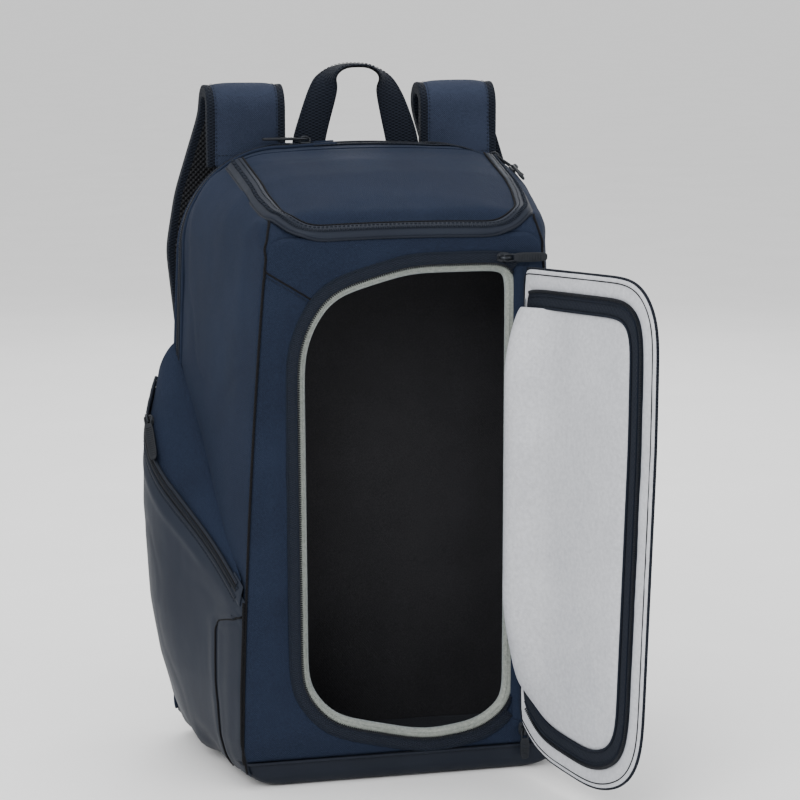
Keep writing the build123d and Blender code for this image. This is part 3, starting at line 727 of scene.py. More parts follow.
def side_panel(name, sign):
    """Side of the bag, from under the lid over the shoulder down to the boot."""
    depths = np.concatenate([[-92, -91, -89, -86], np.linspace(-80, 78, 44), [81, 83, 84.5]])
    rows = []
    for y in depths:
        line = outline(y)[:-2]
        start = float(np.interp(y, [-92, -60, 0, 84.5], [62, 92, 96, 100]))
        x = np.interp(start, line[:64, 0], np.arange(64))
        first = np.array([[start, np.interp(x, np.arange(len(line)), line[:, 1])]])
        rest = line[int(x) + 1:]
        rest = rest[rest[:, 1] >= BOOT_TOP - 2]
        rows.append(resample(np.vstack([first, rest]), 110))
    rows = np.array(rows)
    points = np.stack([sign * rows[..., 0], np.broadcast_to(depths[:, None], rows.shape[:2]), rows[..., 1]],
                      axis=2)
    lid_line = np.array([lid_edge_x(min(y, LID_HINGE_Y)) for y in depths])
    under = np.clip((lid_line[:, None] - np.abs(points[..., 0])) / 3.0, 0, 1) * (points[..., 2] > 430)
    under = under * (depths[:, None] < 52)
    pocket = pocket_mouth_z(points[..., 1])
    hidden = np.clip((pocket - 6 - points[..., 2]) / 14.0, 0, 1)
    extra = -3.0 * under - 2.5 * hidden
    moved = sewn(points, 3.6, 42, 3.0, 1.3, 7.0 + sign, (0, 0, 250), False, (60, 55, 95), extra)
    piece = thick_grid(f"side_panel_cloth_{name}", moved, 1.6, NAVY, flip=sign < 0)
    place(piece, "bag", "navy_fabric", f"side_panel_{name}")
    return moved


MOUTH_LOW, MOUTH_HIGH = 157.0, 306.0


def pocket_mouth_z(y):
    """Height of the pocket's mouth at depth y."""
    return MOUTH_LOW + (MOUTH_HIGH - MOUTH_LOW) * (y - FRONT_Y) / (BACK_Y - FRONT_Y)


def boot():
    """Low rubbery boot: floor with rounded edges and a wall."""
    levels = [(22.5, 0.0), (20, 0.0), (16, 0.0), (12, 0.1), (9, 0.6), (6, 1.8), (3.5, 3.6), (1.6, 6.0),
              (0.4, 9.0), (0.0, 12.0)]
    rings = []
    for z, inset in levels:
        front, back = FRONT_Y + inset, BACK_Y - inset
        span = np.linspace(front, back, 46)
        right = np.array([[skin_side(y, max(z, 0.2)) - 0.5 * inset, y] for y in span])
        loop = np.vstack([right, right[::-1] * [-1, 1]])
        rounded = round_corners([loop[0], loop[45], loop[46], loop[91]], [10, 10, 10, 10], steps=8)
        fine = resample(rounded, 221)[:-1]
        rings.append(np.column_stack([fine, np.full(len(fine), z)]))
    for share in (0.7, 0.35, 0.03):
        rings.append(rings[9] * [share, share, 1])
    points = np.array(rings)
    piece = thick_grid("base_boot_shell", points, 1.8, BOOT, wrap=True, flip=True, cap=True)
    place(piece, "bag", "coated_fabric", "base_boot")
    seam = points[0] + [0, 0, -1.0]
    normals = seam - [0, 0, 22]
    normals[:, 2] = 0
    normals /= np.linalg.norm(normals, axis=1)[:, None]
    verts, faces = sweep(seam + normals * 0.6, normals, round_profile(1.3), True)
    place(make_object("boot_piping", verts, faces, BOOT), "bag", "coated_fabric")


FRONT_CLOTH = front_panel()
for side_name, side_sign in (("left", -1), ("right", 1)):
    seam_top(side_name, side_sign, FRONT_CLOTH, side_panel(side_name, side_sign))
boot()


# ------------------------------------------------------------------ lid and top
LID_CORNER = 34.0


def lid_run():
    """Distance along the middle of the lid from its hinge, and its depth and height there."""
    y = np.concatenate([np.linspace(LID_HINGE_Y, -80, 60), np.linspace(-80, -92, 10)[1:], [-92.0]])
    z = np.array([skin_top(v, 0.0) for v in y])
    z[-1] = 445.5
    run = np.concatenate([[0], np.cumsum(np.hypot(np.diff(y), np.diff(z)))])
    return run, y, z


LID_RUN, LID_RUN_Y, LID_RUN_Z = lid_run()
LID_LENGTH = float(LID_RUN[-1])


def lid_point(x, s, lift=0.0):
    """Point of the lid's surface, x off the middle and s along from the hinge."""
    y = float(np.interp(s, LID_RUN, LID_RUN_Y))
    drop = float(np.interp(s, LID_RUN, LID_RUN_Z)) - skin_top(y, 0.0)
    z = skin_top(y, x) + min(0.0, drop)
    lean = math.exp(-((s - LID_LENGTH + 12) / 7.0) ** 2)
    return np.array([x, y + 0.6 * lean, z + lift - 1.6 * lean])


def lid_half(s, inset=0.0):
    """Half width of the lid at s along, with round front corners."""
    half = lid_edge_x(float(np.interp(s, LID_RUN, LID_RUN_Y))) - inset
    radius = LID_CORNER - inset
    into = s - (LID_LENGTH - inset - radius)
    if into > 0:
        half -= radius - math.sqrt(max(radius ** 2 - into ** 2, 0.0))
    return half


LID_GRID = np.array([[lid_point(x, s) for x in np.linspace(-150, 150, 76)]
                     for s in np.linspace(0, LID_LENGTH, 70)])
LID_TREE = cloth_tree((LID_GRID, False))


def lid_edge(inset=0.0, lift=0.0, count=170):
    """Path and outward normals round the left side, the front and the right side of the lid."""
    end = LID_LENGTH - inset
    turn = np.sin(np.linspace(0, math.pi / 2, 24))[1:]
    runs = np.concatenate([np.linspace(0, end - LID_CORNER, 40), end - LID_CORNER + LID_CORNER * turn])
    left = [(-lid_half(s, inset), s) for s in np.minimum(runs, end)]
    flat = resample(np.array(left + [(-x, s) for x, s in left[::-1]]), count)
    path = np.array([lid_point(x, s) for x, s in flat])
    relax(path, 6)
    path, normals = on_cloth(LID_TREE, path, (0, -0.3, 1))
    relax(normals, 6)
    return path + normals * lift, normals


def lid():
    """Domed lid: navy panel, slate band round three sides, stitching and piping."""
    runs = np.concatenate([np.linspace(0, LID_LENGTH - LID_CORNER, 34),
                           LID_LENGTH - LID_CORNER
                           + LID_CORNER * np.sin(np.linspace(0, math.pi / 2, 18))[1:]])
    across = np.sin(np.linspace(-1, 1, 61) * math.pi / 2 * 0.92) / math.sin(math.pi / 2 * 0.92)
    points = np.array([[lid_point(t * lid_half(s, 3.5), min(s, LID_LENGTH - 3.0), 0.8) for t in across]
                       for s in runs])
    brow = np.exp(-((runs[:, None] - LID_LENGTH + 16) / 9.0) ** 2)
    moved = sewn(points, 3.6, 34, 1.2, 0.7, 21.0, (0, 0, 250), False, (90, 60, 60), 0.8 * brow, 10.0)
    piece = thick_grid("lid_cloth", moved, 2.4, NAVY, flip=True)
    place(piece, "lid", "navy_fabric", "lid_panel", "lid_lining")
    steps = [(13.5, 1.4), (12.8, 2.7), (10.0, 3.4), (6.5, 3.5), (2.8, 3.0), (0.4, 1.9), (-0.4, -1.4)]
    lines = [lid_edge(inset, lift)[0] for inset, lift in steps]
    band = thick_grid("lid_band_cloth", np.array(lines), 1.2, COATED, flip=True)
    place(band, "lid", "coated_fabric", "lid_band")
    zip_line, normal = lid_edge(6.2, 3.6)
    place(make_object("lid_zip_teeth", *blocks_along(zip_line, normal, 1.8, (1.1, 3.4, 0.9)), ZIP_TAPE),
          "lid", "zip_tape")
    middle, normal = lid_edge(10.6, 3.4)
    place(make_object("lid_stitches", *stitch_row(middle, normal), THREAD), "lid", "navy_fabric")
    rim, normal = lid_edge(-0.2, 0.2)
    place(swept("lid_edge_piping", rim, normal, round_profile(1.4), BOOT), "lid", "coated_fabric")
    groove, normal = lid_edge(13.9, 1.6)
    place(swept("lid_groove_thread", groove, normal, round_profile(0.8), BLACK_THREAD), "lid", "webbing")
    under = np.array([[lid_point(t * lid_half(s, 9.0), min(s, LID_LENGTH - 9), -2.6) for t in across[::3]]
                      for s in runs[6::2]])
    place(thick_grid("lid_lining_cloth", sewn(under, 0.8, 30, 0.0, 0.5, 4.0), 0.8, LINING), "lid",
          "pale_lining")


SLOT_X = (-38, 104)
SLOT_EDGES = ((66.0, 1), (81.0, -1))  # depth of each side of the slot, and the way to its middle


def slot_edge(y, lift):
    """Line along the slot at depth y, raised by lift."""
    return np.array([[x, y, skin_top(y, x) + lift] for x in np.linspace(SLOT_X[0] - 2, SLOT_X[1] + 2, 80)])


def top_strip():
    """Cloth between the lid and the back panel, slit open where the racket goes in."""
    stretches = [np.linspace(-120, SLOT_X[0], 20), np.linspace(*SLOT_X, 34), np.linspace(SLOT_X[1], 120, 6)]
    x_lines = np.unique(np.concatenate(stretches))
    y_lines = np.array([50.6, 51.2, 53, 57, 61, 64, 65.4, 66, 70, 76, 81, 81.6, 83, 84.4])
    points = np.array([[[x, y, skin_top(y, x)] for x in x_lines] for y in y_lines])
    rows, columns = points.shape[:2]
    faces = []
    for i in range(rows - 1):
        for j in range(columns - 1):
            middle_x, middle_y = (x_lines[j] + x_lines[j + 1]) / 2, (y_lines[i] + y_lines[i + 1]) / 2
            if SLOT_X[0] < middle_x < SLOT_X[1] and SLOT_EDGES[0][0] < middle_y < SLOT_EDGES[1][0]:
                continue
            k = i * columns + j
            faces.append((k, k + 1, k + columns + 1, k + columns))
    lift = np.array([0.3 + 0.5 * fbm(*p, 45, 9.0) for p in points.reshape(-1, 3)])
    moved = points.reshape(-1, 3) + lift[:, None] * [0, 0, 1]
    piece = make_object("top_strip_cloth", moved, faces, NAVY)
    thicken(piece, 1.6)
    place(soften(piece), "bag", "navy_fabric", "top_strip")
    up = (0, 0, 1)
    tapes = [sweep(slot_edge(y, 0.8) + [0, lean * 2.1, 0], up, band_profile(7.0, 1.0)) for y,
             lean in SLOT_EDGES]
    place(make_object("slot_zip_tapes", *merge(tapes), ZIP_TAPE), "bag", "zip_tape", "slot_tapes")
    teeth = [blocks_along(slot_edge(y, 0.7) + [0, lean * 4.6, 0], up, 1.9, (1.2, 2.6, 1.4)) for y,
             lean in SLOT_EDGES]
    place(make_object("slot_zip_teeth", *merge(teeth), TEETH), "bag", "dark_plastic")


def shoulder_path(y, x_start, z_end, sign, lift=0.0, count=140):
    """Path along the skin at depth y, from x_start over the shoulder down to z_end."""
    line = outline(y)[:-2]
    first = np.interp(x_start, line[:64, 0], np.arange(64))
    keep = [(x_start, skin_top(y, x_start))] + [tuple(p) for p in line[int(first) + 1:] if p[1] > z_end]
    keep.append((skin_side(y, z_end), z_end))
    flat = resample(np.array(keep), count)
    tangent = np.gradient(flat, axis=0)
    tangent /= np.linalg.norm(tangent, axis=1)[:, None]
    normal = np.column_stack([-tangent[:, 1], tangent[:, 0]])
    normal[normal[:, 0] + normal[:, 1] < 0] *= -1
    path = np.column_stack([sign * flat[:, 0], np.full(count, y), flat[:, 1]])
    normals = np.column_stack([sign * normal[:, 0], np.zeros(count), normal[:, 1]])
    return path + normals * lift, normals


def rear_zip(name, sign, x_start):
    """Zip of the racket compartment, from the slot over a shoulder and down the side."""
    path, normals = shoulder_path(74.5, x_start, 300.0, sign, 1.4)
    tape = sweep(path, normals, band_profile(10.0, 1.0))
    place(make_object(f"rear_zip_tape_{name}", *tape, ZIP_TAPE), "bag", "zip_tape", f"rear_zip_{name}")
    coil = blocks_along(path + normals * 0.9, normals, 1.9, (1.1, 3.0, 1.1))
    place(make_object(f"rear_zip_teeth_{name}", *coil, TEETH), "bag", "dark_plastic")
    rolls = []
    for y in (68.2, 81.0):
        seam, out = shoulder_path(y, 20.0 if sign < 0 else x_start, 22.0, sign, 1.4)
        rolls.append(sweep(seam, out, round_profile(1.7)))
    place(make_object(f"rear_zip_piping_{name}", *merge(rolls), NAVY), "bag", "navy_fabric")


def back_panel():
    """Flat back of the bag with a padded look, bound to the sides."""
    line = outline(BACK_Y)[23:-2]
    heights = np.concatenate([[505.2, 504.6, 503.2, 500], np.linspace(494, 24, 84), [21.5]])
    half = [(float(np.interp(z, line[::-1, 1], line[::-1, 0])) - 0.8, z) for z in heights]
    columns = np.linspace(-1, 1, 61)
    points = np.array([[[t * x, BACK_Y - 1.0, z] for t in columns] for x, z in half])
    moved = sewn(points, 0.8, 30, 0.6, 0.4, 40.0, (0, 0, 250))
    piece = thick_grid("back_panel_cloth", moved, 1.4, NAVY)
    place(piece, "bag", "navy_fabric", "back_panel")


lid()
top_strip()
rear_zip("left", -1, 38.0)
rear_zip("right", 1, 104.0)
back_panel()


# ------------------------------------------------------------------ side pockets
POCKET_Y = np.array([-92.0, -45.0, 15.0, 55.0, 85.0])
POCKET_Z = np.array([4.0, 14.0, 40.0, 84.0, 134.0, 215.0, 312.0])
POCKET_X = np.array([
    [126.0, 128.0, 134.0, 134.0, 134.0],
    [132.0, 139.0, 152.0, 152.0, 150.0],
    [136.5, 147.0, 164.0, 164.0, 161.0],
    [136.0, 151.0, 176.0, 176.0, 168.0],
    [134.0, 151.0, 184.0, 184.0, 170.0],
    [132.0, 153.0, 189.5, 189.5, 171.0],
    [127.0, 151.0, 188.0, 188.0, 171.0],
])


FACET_SEAM = resample(round_corners([(-57, 12), (-57, 134), (-91, 144)], [0, 9, 0], closed=False), 160)


def pocket_x(y, z):
    """Half width of a pocket's face at depth y and height z."""
    columns = [np.interp(z, POCKET_Z, POCKET_X[:, k]) for k in range(5)]
    reach = 17.0 * min(1.0, (y - FRONT_Y) / 20, (BACK_Y + 12 - y) / 20)
    return float(np.mean(np.interp(y + reach * np.array([-1, -0.5, 0, 0.5, 1]), POCKET_Y, columns)))


def closed_back(points, sign, axis):
    """Carries the rear edge of a pocket's cloth in to the bag's side, so the pocket is closed behind."""
    last = points[-1] if axis == 0 else points[:, -1]
    inner = np.array([sign * (skin_side(83.0, p[2]) - 1.5) for p in last])
    rows = []
    for share in (0.15, 0.5, 1.0):
        row = last.copy()
        row[:, 0] = last[:, 0] * (1 - share) + inner * share
        row[:, 1] = 85.5 + 0.8 * math.sin(math.pi * share)
        rows.append(row)
    return np.concatenate([points, np.stack(rows, axis=axis)], axis=axis)


def pocket(name, sign):
    """Bulging pocket of coated cloth: sloping mouth, crease under it, facet in front, tucks at the foot."""
    depths = np.concatenate([[-92, -91, -89], np.linspace(-84, 78, 52), [82, 84, 85]])
    shares = np.concatenate([[0, 0.012, 0.03], np.linspace(0.06, 0.95, 54), [0.975, 0.99, 1.0]])
    points = np.zeros((len(depths), len(shares), 3))
    extra = np.zeros(points.shape[:2])
    for i, y in enumerate(depths):
        top = pocket_mouth_z(y)
        foot = 6.0 + 4.0 * smooth_step((-40 - y) / 50)
        for j, share in enumerate(shares):
            z = foot + (top - foot) * share
            points[i, j] = (sign * pocket_x(y, z), y, z)
            below = top - z
            ridge = math.exp(-((below - 21.0) / 4.0) ** 2) * smooth_step((y
                                                                          + 50) / 20) * smooth_step((70 - y) / 40)
            seam = min(float(np.min(np.hypot(FACET_SEAM[:, 0] - y, FACET_SEAM[:, 1] - z))), 30.0)
            bulge = 2.0 * math.exp(-((y - 10) / 55) ** 2) * math.exp(-((z - 130) / 60) ** 2)
            tuck = 2.2 * math.sin((y + 14 * math.sin(z / 11)) / 9.5) * smooth_step((44 - z) / 34) * smooth_step((z - 4) / 10)
            tuck *= smooth_step((y + 44) / 10)
            extra[i, j] = 1.2 * ridge - 1.9 * math.exp(-(seam / 1.5) ** 2) + 0.8 * math.exp(-((seam - 5) / 3.5) ** 2)
            extra[i, j] += bulge + tuck
    points = closed_back(points, sign, 0)
    extra = np.vstack([extra, extra[-1] * [[0.6], [0.3], [0.0]]])
    moved = sewn(points, 3.0, 22, 1.6, 0.55, 60.0 + sign, (0, 0, 120), False, (60, 46, 84), extra)
    piece = thick_grid(f"side_pocket_cloth_{name}", moved, 1.6, COATED, flip=sign > 0)
    place(piece, "bag", "coated_fabric", f"side_pocket_{name}")
    flat_line = np.array([[sign * pocket_x(y, z), y, z] for y, z in FACET_SEAM[::2]])
    line, up = on_cloth(cloth_tree((moved, False)), flat_line, (sign, -0.3, 0), 0.6)
    rim = np.array([[sign * (pocket_x(-91, z) - 0.5), -92.0, z] for z in np.linspace(14, 156, 60)])
    cords = [sweep(line, up, round_profile(0.9)), sweep(rim, (sign * 0.7, -0.7, 0), round_profile(0.9))]
    place(make_object(f"side_pocket_threads_{name}", *merge(cords), BLACK_THREAD), "bag", "coated_fabric")
    patch_y, patch_z = np.meshgrid(np.linspace(-90, -77, 8), np.linspace(0, 1, 6), indexing="ij")
    patch = np.zeros((8, 6, 3))
    for index in np.ndindex(patch_y.shape):
        y = patch_y[index]
        z = pocket_mouth_z(y) - 7.0 + 17.0 * patch_z[index]
        patch[index] = (sign * (pocket_x(y, z) + 2.2 - 3.0 * patch_z[index] ** 2), y, z)
    end = thick_grid(f"side_zip_end_{name}", patch, 1.4, COATED, flip=sign > 0)
    place(end, "bag", "coated_fabric")


def mouth_path(sign, shift=0.0, lift=0.0):
    """Path of the pocket's mouth; shift moves it down the face."""
    points = []
    for y in np.linspace(-84.0, 84.0, 120):
        z = pocket_mouth_z(y) - shift
        points.append((sign * (pocket_x(y, z) + lift), y, z))
    return np.array(points)


def pocket_zip(name, sign):
    """Slanting zip over the pocket's mouth, from the bag's side to the pocket's face."""
    outer = mouth_path(sign, 1.0, -0.4)
    outer_top = mouth_path(sign, -1.6, -1.8)
    inner = outer_top.copy()
    inner[:, 2] += 8.0 + 26.0 * smooth_step((inner[:, 1] + 92) / 150)
    inner[:, 0] = [sign * (skin_side(p[1], p[2]) + 2.2) for p in inner]
    share = np.linspace(0, 1, 10)[:, None, None]
    cover = outer_top[None] * (1 - share) + inner[None] * share
    cover[..., 0] += sign * 4.0 * np.sin(math.pi * share[..., 0]) * smooth_step((cover[..., 1] + 92) / 90)
    cover = closed_back(np.concatenate([outer[None], cover]), sign, 1)
    piece = thick_grid(f"side_pocket_top_{name}", sewn(cover, 0.6, 6, 0.4, 0.3, 80.0, (0, 0, 100)), 1.2, NAVY,
                       flip=sign < 0)
    place(piece, "bag", "zip_tape", f"side_zip_{name}")
    out = np.tile([sign * 0.93, 0.0, 0.36], (len(outer), 1))
    line = mouth_path(sign, -0.4, 0.6)
    place(swept(f"side_zip_tape_{name}", line, out, band_profile(8.5, 0.9), ZIP_TAPE), "bag", "zip_tape")
    teeth = blocks_along(line + out * 0.8, out, 1.9, (1.1, 3.0, 1.1))
    place(make_object(f"side_zip_teeth_{name}", *teeth, TEETH), "bag", "dark_plastic")
    rolls = [sweep(mouth_path(sign, 4.8, 1.7), out, round_profile(1.5)),
             sweep(mouth_path(sign, -6.4, 0.2), out, round_profile(1.5))]
    place(make_object(f"side_zip_piping_{name}", *merge(rolls), BOOT), "bag", "coated_fabric")
    # Black cords either side of the zip tape: painted shadow in the recess between the pocket's rim and the side
    # panel
    shadow_cords = [sweep(mouth_path(sign, shift, 0.9), out, round_profile(1.0)) for shift in (3.0, -4.2)]
    place(make_object(f"side_zip_painted_shadow_{name}", *merge(shadow_cords), BLACK_THREAD), "bag", "zip_tape")
    threads = [stitch_row(mouth_path(sign, shift, 2.6), out) for shift in (8.2, 23.5)]
    place(make_object(f"side_pocket_stitches_{name}", *merge(threads), THREAD), "bag", "coated_fabric")


for pocket_name, pocket_sign in (("left", -1), ("right", 1)):
    pocket(pocket_name, pocket_sign)
    pocket_zip(pocket_name, pocket_sign)


# ------------------------------------------------------------------ front opening and inside
def three_sides(line):
    """Stretch of the opening's outline without its hinge side, in order."""
    hinge = (line[:, 0] > 88.5) & (line[:, 1] > 46) & (line[:, 1] < 418)
    start = np.nonzero(hinge & ~np.roll(hinge, -1))[0][-1] + 1
    turned = np.roll(line, -start, axis=0)
    return turned[~np.roll(hinge, -start)]


def on_front(line, y):
    """Points of a front-plane outline set at depth y."""
    return np.column_stack([line[:, 0], np.full(len(line), y), line[:, 1]])


def opening_trim():
    """Zip tape, teeth and pale binding round the front opening."""
    front = (0, -1, 0)
    tape = sweep(on_front(three_sides(opening_outline(5.2)), FRONT_Y - 0.2), front, band_profile(9.5, 1.1))
    place(make_object("door_zip_tape_outer", *tape, ZIP_TAPE), "bag", "zip_tape", "door_zip_outer")
    rolls = [sweep(on_front(three_sides(opening_outline(g)), FRONT_Y - h), front, round_profile(r))
             for g, h, r in ((9.4, 0.6, 1.2), (1.6, 0.9, 0.9))]
    place(make_object("door_zip_piping_outer", *merge(rolls), THREAD), "bag", "zip_tape")
    coil = blocks_along(on_front(three_sides(opening_outline(0.2)), FRONT_Y - 0.4), front, 1.8,
                        (1.1, 2.8, 1.5))
    place(make_object("door_zip_teeth_outer", *coil, TEETH), "bag", "dark_plastic")
    rings = []
    for grow, y in ((0.6, -90.2), (-1.0, -90.9), (-3.0, -90.5), (-5.0, -89.4), (-6.6, -87.0), (-7.0, -84.0)):
        ring = on_front(opening_outline(grow), y)
        ring[:, 1] += [0.5 * fbm(x, 0, z, 9, 12.0, 2) for x, _, z in ring]
        rings.append(ring)
    binding = thick_grid("opening_binding_cloth", np.array(rings), 1.0, BINDING, wrap=True)
    place(binding, "bag", "binding", "opening_binding")
    threads = stitch_row(on_front(opening_outline(-4.4), -90.6), front)
    place(make_object("opening_binding_stitches", *threads, BINDING), "bag", "binding")


def inner_ring(y, inset):
    """Closed outline of the room inside the bag at depth y."""
    half = outline(y)
    half = half[half[:, 1] > inset]
    half = np.column_stack([np.maximum(half[:, 0] - inset, 0), np.minimum(half[:, 1] - inset * 0.6, 424.0)])
    half = np.vstack([half, [[0.0, 6.5]]])
    half[:, 1] = np.maximum(half[:, 1], 6.5)
    whole = np.vstack([half, half[::-1] * [-1, 1]])
    return resample(whole, 151)[:-1]


def compartment():
    """Dark lining of the front compartment, with slack folds, and the divider behind it."""
    depths = np.linspace(-86.5, 43, 26)
    points = np.array([[[x, y, z] for x, z in inner_ring(y, 6.0)] for y in depths])
    normal = grid_normals(points, (0, 0, 225), True)
    slack = np.array([[1.6 * fbm(*p, 70, 5.0) - 1.6 for p in row] for row in points])
    piece = thick_grid("compartment_lining_cloth", points + normal * slack[..., None], 0.9, DARK_LINING,
                       wrap=True)
    place(piece, "bag", "dark_lining", "compartment_lining")
    rows = []
    for t in np.linspace(1, 0.03, 26):
        ring = inner_ring(43.0, 7.0) * [t, t] + [0, 225 * (1 - t)]
        rows.append([[x, 43.5 - 6.0 * (1 - t ** 2) * (1 + 0.35 * fbm(x, 0, z, 90, 8.0)), z] for x, z in ring])
    divider = thick_grid("compartment_divider_cloth", np.array(rows), 1.2, DARK_LINING, wrap=True, cap=True)
    place(divider, "bag", "dark_lining", "compartment_divider")


def tray():
    """Fabric tray of the top pocket, open under the lid."""
    def rim(y, x):
        return skin_top(min(y, LID_HINGE_Y), x) - 5.0
    corners = [(-95, -80), (95, -80), (95, 44), (-95, 44)]
    plan = resample(round_corners(corners, [14] * 4), 141)[:-1]
    rows = []
    for share in np.linspace(0, 1, 12):
        shrink = 1 - 0.03 * math.sin(math.pi * share)
        rows.append([[x * shrink, -18 + (y + 18) * shrink, rim(y, x) + (430.5 - rim(y, x)) * share] for x,
                     y in plan])
    for share in (0.97, 0.85, 0.6, 0.3, 0.03):
        rows.append([[x * share * 0.99, -18 + (y + 18) * share * 0.99,
                      429.6 + 0.8 * fbm(x * share, y, 0, 50, 2.0)] for x, y in plan])
    piece = thick_grid("top_pocket_tray_cloth", np.array(rows), 1.0, LINING, wrap=True, cap=True)
    place(piece, "bag", "pale_lining", "top_pocket_tray")
    edge = np.array([[x, y, rim(y, x)] for x, y in np.vstack([plan, plan[:1]])])
    tape = sweep(edge, (0, 0, 1), band_profile(4.0, 1.4))
    place(make_object("top_pocket_binding", *tape, ZIP_TAPE), "bag", "zip_tape")


opening_trim()
compartment()
tray()


# ------------------------------------------------------------------ door
DOOR_CORNERS = [(3, 44), (3, 419), (162, 427), (186, 401), (185, 300), (173, 58), (156, 31), (112, 15),
                (28, 23)]
DOOR_RADII = [3, 3, 24, 32, 400, 60, 44, 44, 14]
DOOR_CENTRE = np.array([92.0, 225.0])


def door_at(u, w, z):
    """Place u from the hinge, w towards the lining side and z up, on the open door."""
    plan = np.array([DOOR_HINGE[0], DOOR_HINGE[1], 0.0]) + DOOR_DIR * u + DOOR_INNER * w
    return plan + np.array([0, 0, z])


def door_ring(inset, hinge_inset, count=220):
    """Outline of the door drawn in by inset, and by hinge_inset along its hinge side."""
    corners = np.array(DOOR_CORNERS, float)
    total = len(corners)
    lines = []
    for k in range(total):
        a, b = corners[k], corners[(k + 1) % total]
        d = (b - a) / np.linalg.norm(b - a)
        inward = np.array([d[1], -d[0]])
        lines.append((a + inward * (hinge_inset if k == 0 else inset), d))
    moved = []
    for k in range(total):
        (p, d), (q, e) = lines[k - 1], lines[k]
        share = np.linalg.solve(np.column_stack([d, -e]), q - p)
        moved.append(p + d * share[0])
    ring = resample(round_corners(moved, [max(r - inset, 5.0) for r in DOOR_RADII]), 301)[:-1]
    loose = smooth_step((ring[:, :1] - 8) / 14)
    for _ in range(25):
        ring = ring + loose * ((np.roll(ring, 1, axis=0) + np.roll(ring, -1, axis=0)) / 2 - ring) * 0.7
    angles = np.linspace(-math.pi, math.pi, count, endpoint=False)
    return ray_cast(ring, DOOR_CENTRE, angles)


def door_layer(name, rings, heights, material, body_slot, nodes=(), seed=0.0, wave=0.0, thickness=0.9,
               flip=False, cap=False):
    """Layer of the door through rings of (u, z) at given heights, with slight puckers."""
    points = np.zeros((len(rings), len(rings[0]), 3))
    for i, (ring, height) in enumerate(zip(rings, heights)):
        for j, (u, z) in enumerate(ring):
            h = height[j] if hasattr(height, "__len__") else height
            points[i, j] = door_at(u, h + wave * fbm(u, 0, z, 16, seed, 2), z)
    piece = thick_grid(name, points, thickness, material, wrap=True, flip=flip, cap=cap)
    place(piece, "door", body_slot, *nodes)
    return piece


def door():
    """Outer cloth, piping, pale rim, zip and bulging pale lining."""
    edge = door_ring(1.0, 1.0)
    shares = [0, 0.01, 0.03, 0.07, 0.14, 0.25, 0.4, 0.6, 0.8, 0.98]
    rings = [edge + (DOOR_CENTRE - edge) * s for s in shares]
    heights = [0.0 if s == 0 else -1.3 - 2.4 * float(smooth_step(s / 0.4)) for s in shares]
    door_layer("door_cloth", rings, heights, NAVY, "navy_fabric", ["door_panel"], 2.0, 0.5, 1.2, True, True)
    insets = [(0.5, 0.9), (2.0, 1.4), (5.0, 2.2), (9.0, 2.8), (13.0, 3.4), (16.5, 4.0), (18.0, 4.4)]
    rim = [door_ring(a, b) for a, b in insets]
    door_layer("door_gusset_cloth", rim, [0.5, 1.5, 1.3, 2.0, 1.9, 1.2, 0.6], LINING, "pale_lining",
               ["door_gusset"], 5.0, 0.7)
    tape_insets = [(15.8, 6.5), (16.4, 6.8), (18.0, 7.2), (22.0, 8.0), (26.0, 8.8), (29.0, 9.4), (30.5, 9.8)]
    tape = [door_ring(a, b) for a, b in tape_insets]
    door_layer("door_zip_tape_inner", tape, [1.0, 2.3, 2.9, 3.0, 3.0, 2.7, 1.6], ZIP_TAPE, "zip_tape",
               ["door_zip_inner"])
    rim_line = door_ring(30.0, 0.6)
    shares = (0.0, 0.02, 0.05, 0.1, 0.16, 0.23, 0.31, 0.4, 0.5, 0.6, 0.7, 0.85, 0.985)
    inner = [rim_line * (1 - s) + DOOR_CENTRE * s for s in shares]
    base = [1.2, 2.6, 3.4, 4.4, 5.2, 5.8, 6.2, 6.5, 6.8, 7.0, 7.0, 7.0, 7.0]
    heights = []
    for ring, level in zip(inner, base):
        near_hinge = np.exp(-((ring[:, 0] - 12) / 26.0) ** 2) * smooth_step((ring[:, 0] - 0.4) / 8)
        near_hinge *= smooth_step((ring[:, 1] - 38) / 120) * smooth_step((426 - ring[:, 1]) / 90)
        folds = np.array([1.8 * fbm(u, 0, z * 0.35, 55, 9.0) for u, z in ring])
        heights.append(level + 20.0 * near_hinge + folds * smooth_step((level - 1.2) / 5.0))
    lining = door_layer("door_lining_cloth", inner, heights, LINING, "pale_lining", ["door_lining"], 1.0,
                        0.25, cap=True)
    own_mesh(lining)

    def run(inset, hinge_inset, height, open_side=False):
        ring = door_ring(inset, hinge_inset, 400)
        if open_side:
            keep = ring[:, 0] > hinge_inset + 5
            start = int(np.nonzero(keep & ~np.roll(keep, 1))[0][0])
            ring = np.roll(ring, -start, axis=0)[np.roll(keep, -start)]
        return np.array([door_at(u, height, z) for u, z in ring])

    piping = run(0.3, 0.8, -0.4)
    place(swept("door_edge_piping", piping, DOOR_INNER, round_profile(1.2), WEBBING, True), "door", "webbing",
          "door_piping")
    seam = swept("door_gusset_stitches", run(4.4, 2.0, 1.5), DOOR_INNER, round_profile(0.5), BLACK_THREAD,
                 True)
    place(seam, "door", "webbing")
    coil = blocks_along(run(17.0, 7.0, 2.6, True), DOOR_INNER, 1.8, (1.1, 2.8, 1.4))
    place(make_object("door_zip_teeth_inner", *coil, TEETH), "door", "dark_plastic")
    rolls = [sweep(run(a, b, h, True), DOOR_INNER, round_profile(r)) for a, b, h,
             r in ((20.5, 7.6, 3.2, 0.8), (30.2, 9.6, 3.0, 1.1))]
    place(make_object("door_zip_piping_inner", *merge(rolls), THREAD), "door", "zip_tape")


